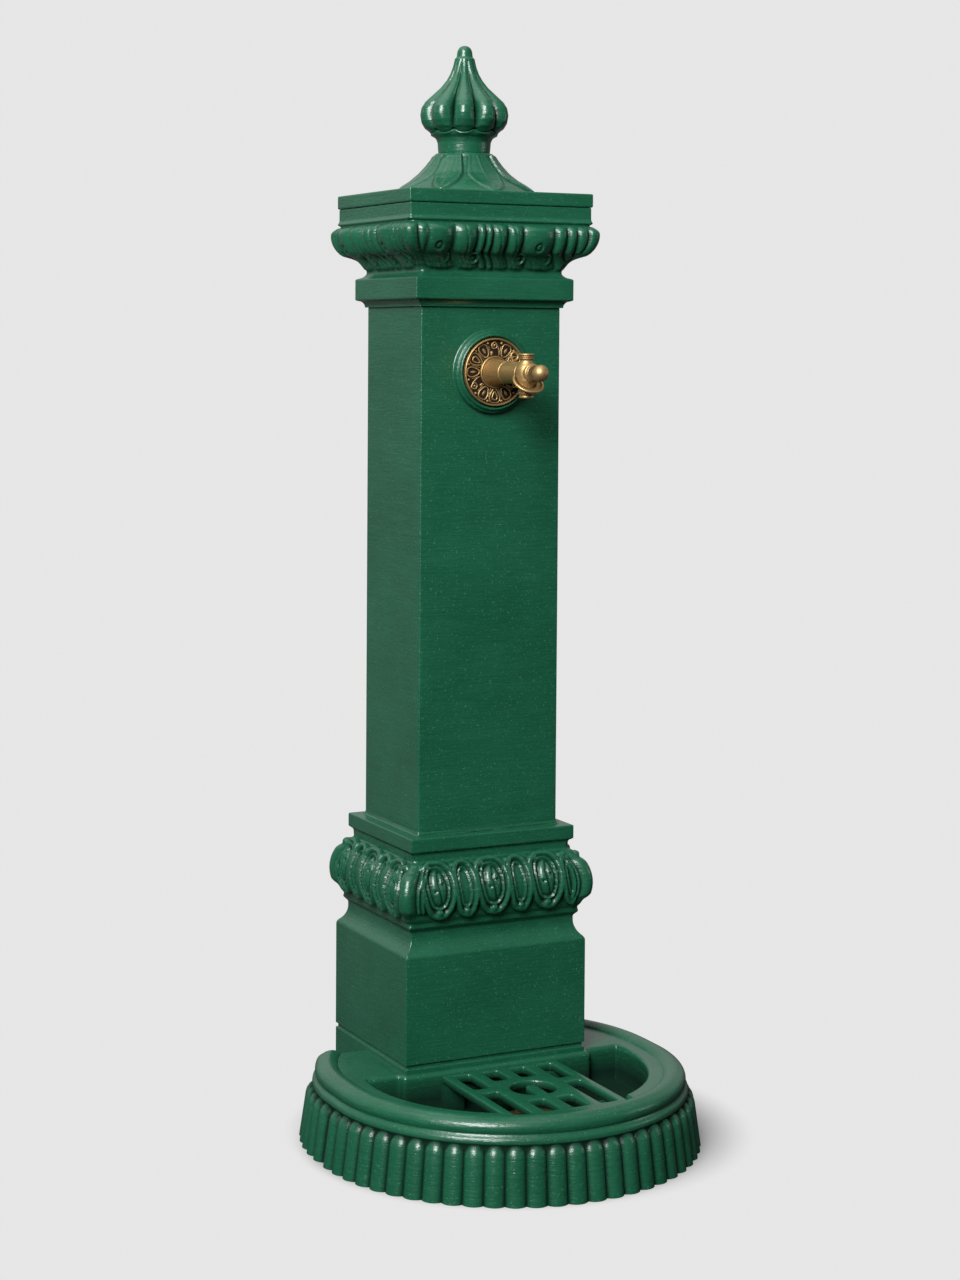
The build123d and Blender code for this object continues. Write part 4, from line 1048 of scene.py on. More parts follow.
def lobe_tree():
    """Lobes round an upright axis, deepest at the shoulder, with thin ridges in the creases above it."""
    kinds = {**dict.fromkeys(LOBE_SIZES, "NodeSocketFloat"), "Material": "NodeSocketMaterial"}
    shop = GeometryShop("lobes", kinds)
    place = shop.node("GeometryNodeInputPosition")
    x, y, z = (shop.part(place, axis) for axis in "XYZ")
    foot, shoulder, top = (shop.given(label) for label in ("Foot", "Shoulder", "Top"))
    deep = y - shop.given("Axis Y")
    turn = shop.maths("ARCTAN2", deep, x) - shop.given("Turn")
    half_turns = turn * shop.given("Lobes") * 0.5
    round_lobe = shop.maths("ABSOLUTE", shop.maths("COSINE", half_turns)) ** 0.5
    in_crease = (0.0 - shop.maths("COSINE", half_turns * 2.0)).clamped() ** 12.0
    rising = ((z - foot) / (shoulder - foot)).clamped()
    falling = ((top - z) / (top - shoulder)).clamped()
    upper = ((z - shoulder) / (top - shoulder)).clamped()
    strength = rising ** 0.7 * (falling * 3.2).clamped()
    ridges = in_crease * (upper * 3.0 - 0.4).clamped() * (falling * 3.0).clamped() * 0.45
    inward = (1.0 - round_lobe - ridges) * shop.given("Depth") * strength
    offset = shop.node("ShaderNodeCombineXYZ", (), {0: 0.0 - x * inward, 1: 0.0 - deep * inward})
    inputs = {"Geometry": shop.given("Geometry"), "Offset": offset}
    return shop.dressed(shop.node("GeometryNodeSetPosition", (), inputs))


LOBE_DEPTH, LOBE_FOOT, LOBE_SHOULDER, LOBE_TOP = 0.36, 1.1030, 1.1215, 1.1865
CREASE_WIDTH = 0.42
run_tree(finial, lobe_tree(), {"Axis Y": AXIS_Y, "Lobes": float(BUD_LOBES), "Depth": LOBE_DEPTH,
                               "Foot": LOBE_FOOT, "Shoulder": LOBE_SHOULDER, "Top": LOBE_TOP,
                               "Turn": CAMERA_SIDE, "Material": enamel})
# Painted shade in the creases between the bud's lobes
places = column_places(finial)
swing = abs(np.cos((np.arctan2(places[:, 1], places[:, 0]) - CAMERA_SIDE) * BUD_LOBES / 2))
on_bud = smooth_step(places[:, 2], 1104, 1110) * smooth_step(-places[:, 2], -1186, -1150)
store_hollow(finial, np.clip(1 - swing / CREASE_WIDTH, 0, 1) * on_bud)
finish(finial, "finial", 60)

# %% [markdown]
# ## The basin
#
# The basin is one casting. Its bowl is one long sweep: the rim's profile follows a front half circle, short
# straight sides and the start of a rear circle. The flats between the sweep and the well have no rule, so
# they are filled between their two outlines. A copy of the path at another radius gives every further loop,
# so neighbouring loops always have the same number of points. Cutting a block with booleans would leave
# long thin faces there, which shade badly.

# %% Plans of the bowl and the well
FRONT_CENTRE, REAR_CENTRE, BACK_CUT = -116, -89, 9
WELL_RADIUS, WELL_BACK, EAR_BACK, EAR_START = 155, -102, -92, 115
GRATE_HALF_X, GRATE_FRONT, GRATE_FOOT, GRATE_TOP = 71, -270, 67.5, level("drain_grate", 1)
DECK, WELL_FLOOR, WASTE_Y = 80, 40, -182
BOWL_STEPS, REAR_STEPS, WELL_STEPS = 120, 30, 120


def bowl_path(radius, back):
    """Points from the back left, round the front, to the back right."""
    end_turn = math.asin(min(1, (back - REAR_CENTRE) / radius))
    turns = np.linspace(math.pi - end_turn, math.pi, REAR_STEPS)
    left = np.stack([radius * np.cos(turns), REAR_CENTRE + radius * np.sin(turns)], 1)
    turns_front = np.linspace(math.pi, math.tau, BOWL_STEPS + 1)
    front = np.stack([radius * np.cos(turns_front), FRONT_CENTRE + radius * np.sin(turns_front)], 1)
    return np.concatenate([left, front, left[::-1] * [-1, 1]])


def well_outline(notched):
    """The well seen from above: a round front, two ears and a straight back, with the grate's notch."""
    ear_turn = math.asin((EAR_BACK - FRONT_CENTRE) / WELL_RADIUS)
    corner_turn = math.atan2(GRATE_FRONT - FRONT_CENTRE, GRATE_HALF_X)
    turns = np.linspace(ear_turn, -math.pi - ear_turn, WELL_STEPS + 1)
    turns = np.sort(np.append(turns, [corner_turn, -math.pi - corner_turn]))[::-1]
    across, down = np.cos(turns), -np.sin(turns)
    reach = np.full(len(turns), float(WELL_RADIUS))
    if notched:
        to_side = GRATE_HALF_X / np.maximum(abs(across), 1e-6)
        to_front = (FRONT_CENTRE - GRATE_FRONT) / np.maximum(down, 1e-6)
        reach = np.maximum(reach, np.where(down > 0, np.minimum(to_side, to_front), 0))
    arc = np.stack([reach * across, FRONT_CENTRE - reach * down], 1)
    ear_steps = [arc[-2], arc[-1], (-EAR_START, EAR_BACK), (-EAR_START, WELL_BACK), (0, WELL_BACK)]
    left_ear = dense(soft_line(ear_steps, 9)[1:], 3)
    return np.concatenate([arc[1:-1], left_ear, left_ear[::-1][1:] * [-1, 1]])


def grown(loop, distance):
    """A closed outline moved outwards (or inwards) by a distance."""
    before, after = np.roll(loop, 1, axis=0), np.roll(loop, -1, axis=0)
    along = after - before
    out = np.stack([along[:, 1], -along[:, 0]], 1) / np.linalg.norm(along, axis=1, keepdims=True)
    area = np.sum(loop[:, 0] * after[:, 1] - loop[:, 1] * after[:, 0])
    return loop + out * distance * (1 if area > 0 else -1)


def at_height(loop, height):
    """A plan's points at one height."""
    return np.column_stack([loop, np.full(len(loop), float(height))])


class LoopMesh:
    """A mesh built from loops: walls between two loops, and flats filled between outlines."""

    def __init__(self):
        self.shape = bmesh.new()

    def loop(self, plan, height):
        """The points of a plan, at one height."""
        return [self.shape.verts.new(point) for point in to_frame(at_height(plan, height))]

    def wall(self, low, high, closed=True):
        """Quads from one loop to the next."""
        count = len(low)
        for k in range(count if closed else count - 1):
            n = (k + 1) % count
            self.shape.faces.new((low[k], low[n], high[n], high[k]))

    def walls(self, loops, closed=True):
        """A wall between each loop and the next."""
        for low, high in zip(loops[:-1], loops[1:]):
            self.wall(low, high, closed)

    def flat(self, *loops):
        """Level faces that fill what lies between the outlines."""
        edges = []
        for loop in loops:
            for k, vert in enumerate(loop):
                pair = (vert, loop[(k + 1) % len(loop)])
                edges.append(self.shape.edges.get(pair) or self.shape.edges.new(pair))
        bmesh.ops.triangle_fill(self.shape, use_beauty=True, edges=edges)

    def add_grid(self, points):
        """A grid that is closed both ways, as one more shell."""
        verts = [self.shape.verts.new(point) for point in to_frame(points.reshape(-1, 3))]
        for face in grid_faces(*points.shape[:2]):
            self.shape.faces.new([verts[index] for index in face])

    def piece(self, name):
        """The finished mesh as an object."""
        mesh = bpy.data.meshes.new(name)
        self.shape.to_mesh(mesh)
        self.shape.free()
        return in_scene(name, mesh)


def circle(radius, centre_y, count=64):
    """A circle on the middle line of the plan."""
    turns = np.arange(count) / count * math.tau
    return np.stack([radius * np.cos(turns), centre_y + radius * np.sin(turns)], 1)


print("path points", len(bowl_path(200, BACK_CUT)), "well points", len(well_outline(True)))

# %% [markdown]
# The rim is the part of the bowl that catches the light, so its profile gets the most rows: the leaning
# skirt, a fascia above the reeds, the rolled rim, and the dip to the deck.

# %% Bowl
RIM_LINE = [(207.0, 0.0), (198.2, 57), (199.4, 60.5), (198.7, 64.8), (196.0, 67.6), (195.0, 69.4),
            (196.0, 76.4, 190.0, 82.7), (182.4, 85.2, 171.0, DECK)]
LIP_STEPS = [(4.6, DECK), (3.0, DECK - 0.25), (1.4, DECK - 1.3), (0.3, DECK - 3.1), (0, DECK - 5),
             (0, DECK - 8), (0, GRATE_FOOT)]
LEDGE_INSET = -0.15
FLOOR_STEPS = [(LEDGE_INSET, GRATE_FOOT + LEDGE_INSET), (LEDGE_INSET, WELL_FLOOR + 12),
               (-0.6, WELL_FLOOR + 5), (-2.2, WELL_FLOOR + 1.6), (-6, WELL_FLOOR)]
WASTE_RADIUS, TUB_WALL, TUB_FOOT, DECK_UNDERSIDE, HOLLOW_RADIUS, HOLLOW_BACK = 22, 4.5, 32, 72, 187, 1


def block_corners(half_width, back, front):
    """Four points that close the bowl's plan, just inside the block under the column."""
    return np.array([(half_width, back), (half_width, front), (-half_width, front), (-half_width, back)])


rim_line = dense(soft_line(RIM_LINE, 1.6), 7)
bowl = LoopMesh()
rim_loops = [bowl.loop(bowl_path(radius, BACK_CUT), height) for radius, height in rim_line]
bowl.walls(rim_loops, closed=False)
at_block = block_corners(106, BACK_CUT, -91)
block_low, block_high = bowl.loop(at_block, 0), bowl.loop(at_block, DECK)
bowl.wall(block_low, block_high, closed=False)
bowl.shape.faces.new([loop[-1] for loop in rim_loops] + [block_high[0], block_low[0]])
bowl.shape.faces.new([loop[0] for loop in rim_loops][::-1] + [block_low[3], block_high[3]])
print("rim loops", len(rim_loops), "points on each", len(rim_loops[0]))

# %% Well, and the hollow under the bowl
well_base, well_notched = well_outline(False), well_outline(True)
lip_loops = [bowl.loop(grown(well_notched, out), height) for out, height in LIP_STEPS]
bowl.walls(lip_loops)
bowl.flat(rim_loops[-1] + block_high, lip_loops[0])
floor_loops = [bowl.loop(grown(well_base, out), height) for out, height in FLOOR_STEPS]
bowl.walls([lip_loops[-1]] + floor_loops)
waste_hole = circle(WASTE_RADIUS, WASTE_Y)
waste_top, waste_low = (bowl.loop(waste_hole, height) for height in (WELL_FLOOR, TUB_FOOT))
bowl.flat(floor_loops[-1], waste_top)
bowl.wall(waste_top, waste_low)
tub_low, tub_high = (bowl.loop(grown(well_base, TUB_WALL), height) for height in (TUB_FOOT, DECK_UNDERSIDE))
bowl.flat(waste_low, tub_low)
bowl.wall(tub_low, tub_high)
hollow_plan = np.concatenate([bowl_path(HOLLOW_RADIUS, HOLLOW_BACK), block_corners(109, HOLLOW_BACK, -93)])
hollow_loops = [bowl.loop(hollow_plan, height) for height in (DECK_UNDERSIDE, 0)]
bowl.flat(hollow_loops[0], tub_high)
bowl.wall(*hollow_loops)
bowl.flat(rim_loops[0] + block_low, hollow_loops[1])
print("points round the well", len(well_base))

# %% Block under the column, and seats for the grate
BLOCK_LINE = [(25, 0), (25, 85), (23, 85), (23, 90), (-20, 90), (-20, 82), (17, 82), (17, 0)]
SEATS = [(-60, -110, 16), (60, -110, 16), (-60, -241, 30), (60, -241, 30)]
SEAT_HALF_WIDTH, SEAT_SINK, SEAT_GAP = 10, 1, 0.2

block_rows = moulding_rows(dense(soft_line(BLOCK_LINE, 1.3, closed=True), 20), 1.6)
block_points, _ = ring_grid(block_rows, side_columns(SHAFT_X + LEDGE_REACH, SHAFT_Y + LEDGE_REACH, 12, 4))
bowl.add_grid(block_points)
for x, y, length in SEATS:
    corners = [(-1, -1), (1, -1), (1, 1), (-1, 1)]
    seat = np.array([(x + SEAT_HALF_WIDTH * right, y + length / 2 * back) for right, back in corners])
    low, high = bowl.loop(seat, WELL_FLOOR - SEAT_SINK), bowl.loop(seat, GRATE_FOOT - SEAT_GAP)
    bowl.wall(low, high)
    bowl.flat(low)
    bowl.flat(high)
basin = bowl.piece("basin_cast")
print("basin faces", len(basin.data.polygons))

# %% [markdown]
# ## Reeds
#
# Forty-one convex reeds stand round the skirt. They could be carved into the sweep, but the reeds are
# separate round bars that lean on it. So one reed is modelled at the origin, and Geometry Nodes puts a copy
# on each point of the path, turned to face outwards, and makes them real. The points are the piece's own
# mesh, and their directions are an attribute on them.

# %% One reed and its places
REED_RADIUS, REED_RISE, REED_LEAN, REED_HEIGHT = 13.4, 4.8, 9, 61.5
SKIRT_RADIUS, REED_LIFT = 208.5, 0.2
REED_SIDES, REED_BACK = 36, 0.2
DOME_DEGREES = [18, 36, 54, 70, 82]
REED_PITCH = 6


def make_reed():
    """A leaning bar with a round front and a domed top, standing at the origin and facing +X."""
    tilt = math.atan2(REED_LEAN, REED_HEIGHT)
    bar = REED_HEIGHT - REED_RADIUS
    rows = [(bar * share, REED_RADIUS) for share in (0, 0.35, 0.7, 1)]
    rows += [(bar + REED_RADIUS * math.sin(t), REED_RADIUS * math.cos(t)) for t in np.radians(DOME_DEGREES)]
    turns = np.arange(REED_SIDES) / REED_SIDES * math.tau
    bulge = np.where(np.cos(turns) > 0, 1, REED_BACK)
    points = []
    for height, radius in rows:
        x = radius * bulge * np.cos(turns) - height * math.tan(tilt)
        points += at_height(np.stack([x, radius * np.sin(turns)], 1), height).tolist()
    faces = grid_faces(len(rows), REED_SIDES, rows_closed=False) + end_caps(len(rows), REED_SIDES)
    mesh = bpy.data.meshes.new("one_reed")
    mesh.from_pydata((np.array(points) * MM).tolist(), [], faces)
    return bpy.data.objects.new("one_reed", mesh)


def reed_places():
    """Where each reed stands, and its turn."""
    reach = SKIRT_RADIUS + REED_RISE - REED_RADIUS
    places = [(FRONT_CENTRE, turn) for turn in np.radians(np.arange(180, 361, REED_PITCH))]
    places += [(REAR_CENTRE, turn) for turn in np.radians(np.arange(REED_PITCH, 25, REED_PITCH))]
    places += [(REAR_CENTRE, turn) for turn in np.radians(np.arange(180 - REED_PITCH, 155, -REED_PITCH))]
    places += [(REAR_CENTRE, 0.0), (REAR_CENTRE, math.pi)]
    turns = [turn for _, turn in places]
    points = [(reach * math.cos(turn), centre + reach * math.sin(turn), REED_LIFT)
              for centre, turn in places]
    return points, turns


def repeat_tree():
    """A copy of an object on every point, turned by an attribute, scaled, made real and dressed."""
    kinds = {"Copied": "NodeSocketObject", "Turn Attribute": "NodeSocketString", "Scale": "NodeSocketFloat",
             "Material": "NodeSocketMaterial"}
    shop = GeometryShop("repeats", kinds)
    copied = shop.node("GeometryNodeObjectInfo", (), {"Object": shop.given("Copied")}, output="Geometry")
    attribute = {"Name": shop.given("Turn Attribute")}
    turn = shop.node("GeometryNodeInputNamedAttribute", {"data_type": "FLOAT"}, attribute)
    inputs = {"Points": shop.given("Geometry"), "Instance": copied, "Scale": shop.given("Scale"),
              "Rotation": shop.node("ShaderNodeCombineXYZ", (), {2: turn})}
    return shop.dressed(shop.node("GeometryNodeInstanceOnPoints", (), inputs))


reed_points, reed_turns = reed_places()
reeds = new_mesh_object("reeds", reed_points, [])
reeds.data.attributes.new("turn", "FLOAT", "POINT").data.foreach_set("value", reed_turns)
reed_inputs = {"Copied": make_reed(), "Turn Attribute": "turn", "Scale": 1.0, "Material": enamel}
run_tree(reeds, repeat_tree(), reed_inputs)
print("reeds", len(reed_turns), "faces", len(reeds.data.polygons))

# %% Reeds join the basin, and painted shade in the well and between the reeds
WELL_SHADE_START, WELL_SHADE_DEPTH = 3, 20
VALLEY_START, VALLEY_DEPTH, VALLEY_END, VALLEY_TOP = 2.2, 2.6, 9, 60
take_in(basin, reeds)
places = column_places(basin)
from_front = np.hypot(places[:, 0], places[:, 1] - FRONT_CENTRE)
in_well = (from_front < WELL_RADIUS + 1) & (places[:, 1] < EAR_BACK + 1) & (places[:, 2] < DECK - 1)
# Painted shade, deeper further down the well
well_shade = in_well * np.clip((DECK - WELL_SHADE_START - places[:, 2]) / WELL_SHADE_DEPTH, 0, 1)
# Painted shade in the valleys between the reeds
local_centre = np.clip(places[:, 1], FRONT_CENTRE, REAR_CENTRE)
crest = SKIRT_RADIUS + REED_RISE - places[:, 2] * REED_LEAN / REED_HEIGHT
below_crest = crest - np.hypot(places[:, 0], places[:, 1] - local_centre)
on_skirt = (places[:, 2] < VALLEY_TOP) & (below_crest < VALLEY_END) & (places[:, 1] < BACK_CUT + 1)
valley_shade = on_skirt * np.clip((below_crest - VALLEY_START) / VALLEY_DEPTH, 0, 1)
store_hollow(basin, np.maximum(well_shade, valley_shade))
finish(basin, "basin", 38)

# %% [markdown]
# ## Grate
#
# The grate is a loose flat casting that lifts out of the well. Its plan is an outline and the outlines of
# its holes. Bars laid across each other would need their crossings joined, so the plate is made whole, and
# each outline steps inwards and down at the top and bottom, which rounds every bar.

# %% Drain grate
GRATE_Y, GRATE_LENGTH, GRATE_WIDTH = -184.5, 163, 140
RAIL, SIDE_RAIL, SLOT_WIDTH, CROSS_BAR, BAR_Y, HOLE_RADIUS = 7, 10, 20, 15, -170, 25
HOLE_RIM, TONGUE_HALF, TONGUE_LENGTH = 13, 6.0, 35
EDGE_STEPS = [(1.0, 0.0), (0.55, 0.12), (0.2, 0.42), (0.0, 1.0)]


def oblong(x_low, x_high, y_low, y_high, soft):
    """A rectangle with eased corners."""
    corners = [(x_low, y_low), (x_high, y_low), (x_high, y_high), (x_low, y_high)]
    return soft_line(corners, soft, closed=True)


def hole_outline():
    """The finger hole, with the tongue that reaches into it from the front."""
    tip_y = WASTE_Y - HOLE_RADIUS + TONGUE_LENGTH
    start = math.asin(TONGUE_HALF / HOLE_RADIUS) - math.pi / 2
    turns = np.linspace(start, start + math.tau - 2 * (start + math.pi / 2), 44)
    ring = np.stack([HOLE_RADIUS * np.cos(turns), WASTE_Y + HOLE_RADIUS * np.sin(turns)], 1)
    turns = np.linspace(math.pi, 0, 9)
    tip = np.stack([TONGUE_HALF * np.cos(turns), tip_y - TONGUE_HALF + TONGUE_HALF * np.sin(turns)], 1)
    return np.concatenate([ring, tip])


def slot_outlines():
    """Four slots behind the cross bar and four before it. The inner ones stop at the hole's rim."""
    pitch = (GRATE_WIDTH - SIDE_RAIL * 2 - SLOT_WIDTH) / 3
    back_row, front_row = GRATE_Y + GRATE_LENGTH / 2 - RAIL, GRATE_Y - GRATE_LENGTH / 2 + RAIL
    slots = []
    for column in range(4):
        middle, reach = BAR_Y, CROSS_BAR / 2
        if column in (1, 2):
            middle, reach = WASTE_Y, HOLE_RADIUS + HOLE_RIM
        left = (column - 1.5) * pitch - SLOT_WIDTH / 2
        slots.append(oblong(left, left + SLOT_WIDTH, middle + reach, back_row, 3.4))
        slots.append(oblong(left, left + SLOT_WIDTH, front_row, middle - reach, 3.4))
    return slots


def soft_plate(outer, holes, low, high, soft):
    """A flat plate with holes whose edges are all rounded."""
    plate = LoopMesh()
    tops, feet = [], []
    for outline, sign in [(outer, -1)] + [(hole, 1) for hole in holes]:
        steps = [(grown(outline, sign * soft * inset), soft * drop) for inset, drop in EDGE_STEPS]
        down = [plate.loop(plan, high - drop) for plan, drop in steps]
        up = [plate.loop(plan, low + drop) for plan, drop in reversed(steps)]
        plate.walls(down + up)
        tops.append(down[0])
        feet.append(up[-1])
    plate.flat(*tops)
    plate.flat(*feet)
    return plate


half_x, half_y = GRATE_WIDTH / 2, GRATE_LENGTH / 2
grate_plan = oblong(-half_x, half_x, GRATE_Y - half_y, GRATE_Y + half_y, 2.5)
grate_holes = [hole_outline()] + slot_outlines()
grate = soft_plate(grate_plan, grate_holes, GRATE_FOOT, GRATE_TOP, 1.7).piece("grate_cast")
# Painted shade grows down each bar, from 2 mm under its top
store_hollow(grate, np.clip((GRATE_TOP - 2 - column_places(grate)[:, 2]) / 5, 0, 0.85))
finish(grate, "drain_grate", 40)

# %% [markdown]
# ## Shaft
#
# The shaft is a plain tube, so its surface has to carry the interest: the casting is never quite flat, and
# the paint was brushed on from side to side. Sculpting that by hand would be slow, so two smooth random
# fields with fixed seeds, one of them spread further along the strokes than across them, move each point by
# a few tenths of a millimetre. A small fillet lies on the ledge at the foot, and the boss for the tap has a
# stepped, rounded edge.

# %% Unevenness, shells and cuts


def uneven(shape, reaches, seed):
    """A smooth random field between -1 and 1, spread over the given number of rows and columns."""
    field = np.random.default_rng(seed).normal(size=shape)
    for axis, reach in enumerate(reaches):
        for _ in range(2):
            field = sum(np.roll(field, shift, axis) for shift in range(-reach, reach + 1))
    return field / abs(field).max()


def turned_shell(line, count, carve=None, carved_rows=None, closed=True):
    """Points and faces of a turned profile of (radius, height). An open one gets flat ends."""
    points = turned_grid(np.array(line, float), count, carve, carved_rows)
    faces = grid_faces(*points.shape[:2], rows_closed=closed)
    if not closed:
        faces += end_caps(len(line), count)
    return points.reshape(-1, 3), faces


def tap_axis(shell):
    """Lay an upright shell along the tap's axis, so that heights count outwards from the shaft's face."""
    points, faces = shell
    return np.stack([points[:, 0], -SHAFT_Y - points[:, 2], TAP_Z + points[:, 1]], 1), faces


def joined_shells(name, shells):
    """One object from several closed shells."""
    points = np.concatenate([shell[0] for shell in shells])
    faces, first = [], 0
    for shell_points, shell_faces in shells:
        faces += [[index + first for index in face] for face in shell_faces]
        first += len(shell_points)
    return new_mesh_object(name, points, faces)


def cut(piece, shells):
    """Take closed shells out of a piece, one after another."""
    for shell in shells:
        tool = new_mesh_object("cutter", *shell)
        shade(tool)
        modifier = piece.modifiers.new("cut", "BOOLEAN")
        modifier.operation, modifier.solver, modifier.object = "DIFFERENCE", "EXACT", tool
        apply_modifiers(piece)
        bpy.data.objects.remove(tool)


sample = uneven((40, 40), (2, 2), 1)
print("a random field runs from", round(sample.min(), 2), "to", round(sample.max(), 2))

# %% Shaft and boss
SHAFT_LOW, SHAFT_HIGH = level("shaft", 0), level("shaft", 1)
SHAFT_LINE = [(3.2, SHAFT_LOW), (1.0, SHAFT_LOW + 1.3), (0, SHAFT_LOW + 4.5), (0, SHAFT_HIGH),
              (TUBE_INSIDE, SHAFT_HIGH), (TUBE_INSIDE, SHAFT_LOW)]
TAIL_HOLE_LINE = [(POLE_RADIUS, -20), (10.5, -20), (10.5, 9), (POLE_RADIUS, 9)]
BOSS_LINE = [(10.6, -4), (44.5, -4), (47.4, -0.1), (46.0, 0.7), (45.3, 2.0), (45.1, 4.4), (44.2, 5.7),
             (42.9, 6.2), (42.1, 7.4), (41.5, 9.0), (40.3, 9.9), (39.1, 9.2), (38.4, 7.6), (37.9, 6),
             (10.6, 6)]
BRUSHED_DEPTH, WAVY_DEPTH, CALM_EDGE = 0.34, 0.3, 6

shaft_rows = moulding_rows(dense(soft_line(SHAFT_LINE, 0.8, closed=True), 2.6), 1.7)
shaft_rows[shaft_rows[:, 0] > SHAFT_X - 1, 4] = 0
shaft_columns = side_columns(SHAFT_X, SHAFT_Y, 4.2, 4)
field_shape = (len(shaft_rows), shaft_columns.shape[1])
unevenness = (uneven(field_shape, (1, 5), 4) * BRUSHED_DEPTH
              + uneven(field_shape, (7, 4), 5) * WAVY_DEPTH)


def brushed(_side, _along, from_corner, _place):
    """The shaft's unevenness, which dies out towards its corners."""
    return unevenness * smooth_step(from_corner, 0, CALM_EDGE)


shaft_points, _ = ring_grid(shaft_rows, shaft_columns, brushed)
shaft = new_mesh_object("shaft_cast", shaft_points.reshape(-1, 3), grid_faces(*shaft_points.shape[:2]))
shade(shaft)
cut(shaft, [tap_axis(turned_shell(TAIL_HOLE_LINE, 48, closed=False))])
boss = new_mesh_object("boss", *tap_axis(turned_shell(soft_line(BOSS_LINE, 0.7, closed=True), 160)))
shade(boss)
take_in(shaft, boss)
finish(shaft, "shaft", 50)

# %% [markdown]
# ## Rosette
#
# The rosette is a shallow brass dish with a thin rim, and its floor is full of low relief: teardrops with a
# heart, fans of nested lines and scrolls, in turn. A bump alone would stay flat at the edges, so the relief
# is real. Such foliage is drawn in flattened polar places: across is the arc length from the motif's
# middle, and up is the distance from the hub.

# %% Foliage
MOTIFS = 12
ROSETTE_HUB = 17.4
DROP = loop_path(4.7, 1.6, 16.0, 0.34)
FAN = [loop_path(width, foot, top, 0.5) for width, foot, top in ((5.2, 0.5, 16.4), (2.4, 4.0, 13.0))]
spiral_turns = np.linspace(0, 1.35 * math.tau, 30)
spiral_reach = 4.2 - spiral_turns * 0.42
SCROLL = np.stack([spiral_reach * np.sin(spiral_turns), 11.2 + spiral_reach * np.cos(spiral_turns)], 1)
SCROLL_STEM = [(-5.2, 0.8), (-4.6, 6), (-3.2, 11), (0, 15.6)]


def foliage(turns, _share, radius):
    """Teardrops, fans and scrolls round the hub, with small buds between them."""
    pitch = math.tau / MOTIFS
    number = np.floor(turns / pitch + 0.5) % 4 + 0 * radius
    x = ((turns + pitch / 2) % pitch - pitch / 2) * radius * 0.93
    y = radius - ROSETTE_HUB + 0 * turns
    drop = np.maximum(cord(gap_to(x, y, DROP), 0.95, 0.95), egg(x, y - 9, 1.6, 3.6, 0.95))
    fan = np.maximum.reduce([cord(gap_to(x, y, path), 0.9, 0.95) for path in FAN])
    stem = cord(gap_to(x, y, SCROLL_STEM), 0.9, 0.95)
    scroll = np.maximum.reduce([cord(gap_to(x, y, SCROLL), 0.9, 0.95), stem,
                                egg(x - 3.6, y - 3.6, 1.6, 2.6, 1.1)])
    rise = np.choose(number.astype(int), [drop, fan, drop, scroll])
    between = (turns % pitch - pitch / 2) * radius
    bud_stem = cord(gap_to(between, y, [(0, 1), (0, 11)]), 0.6, 0.8)
    bud = np.maximum(egg(between, y - 15.2, 1.6, 1.6, 1.1), bud_stem)
    return np.maximum(rise, bud) * smooth_step(y, 0.2, 1.2)


print("motifs", MOTIFS, "points on a scroll", len(SCROLL))

# %% Rosette
DISH_FLOOR, DISH_INNER, DISH_OUTER, RELIEF_HEIGHT = 8.3, 17.9, 34.2, 0.9
ROSETTE_LINE = [(10.05, 6), (36.5, 6), (37.2, 6.9), (37.2, 10.7), (36.6, 11.5), (35.6, 11.4), (35.1, 10.4),
                (34.8, 8.7), (DISH_OUTER, DISH_FLOOR), (DISH_INNER, DISH_FLOOR), (17.5, 9.6), (16.9, 10.4),
                (16.2, 10.3), (15.8, 9.2), (15.6, 8.4), (10.05, 8.4)]
ROSETTE_COLUMNS = 520


def floor_ends(line):
    """The first and the last row of a profile that lie on the dish's floor."""
    on_floor = (abs(line[:, 1] - DISH_FLOOR) < 0.02) & (line[:, 0] > DISH_INNER)
    return np.flatnonzero(on_floor)[[0, -1]]


rosette_line = soft_line(ROSETTE_LINE, 0.4, closed=True)
first, last = floor_ends(rosette_line)
rosette_line = np.concatenate([rosette_line[:first], dense(rosette_line[first:last + 1], 0.3),
                               rosette_line[last + 1:]])
points, faces = turned_shell(rosette_line, ROSETTE_COLUMNS, foliage, floor_ends(rosette_line))
rosette = new_mesh_object("rosette_cast", *tap_axis((points, faces)))
above_floor = points[:, 2].reshape(len(rosette_line), -1) - DISH_FLOOR
radii = rosette_line[:, :1]
in_dish = (radii < DISH_OUTER + 1) & (radii > ROSETTE_HUB + 0.2)
store_hollow(rosette, in_dish * np.clip(1 - above_floor / RELIEF_HEIGHT, 0, 1))
finish(rosette, "rosette", 60)

# %% [markdown]
# ## Tap
#
# The barrel, cap, gland, button and nozzle are turned on the real tap, so they are turned here too. The
# head is cast in one with its tube, neck, brim and eyelet. Its shells could be welded by hand, but it is
# simpler to join them, remesh them finely and smooth the result, which melts the joints as the mould did.
# The water way is cut out afterwards, so that its edges stay crisp.

# %% Turned pieces of the tap
HEAD_OUT = 83
TAP_COLUMNS = 96


def head_axis(shell):
    """Stand a shell on the head's upright axis, with heights counted from the tap's axis."""
    points, faces = shell
    return points + [0, -SHAFT_Y - HEAD_OUT, TAP_Z], faces


def turned_piece(name, node, line, soft, upright=False, closed=True, dark=None):
    """A turned piece on the tap's axis, or upright on the head's axis. Dark says where shade is painted on
    it.
    """
    shell = turned_shell(soft_line(line, soft, closed=closed), TAP_COLUMNS, closed=closed)
    made = new_mesh_object(name, *(head_axis(shell) if upright else tap_axis(shell)))
    if dark is not None:
        x, y, out = shell[0].T
        store_hollow(made, dark(np.hypot(x, y), out))
    finish(made, node, 50)


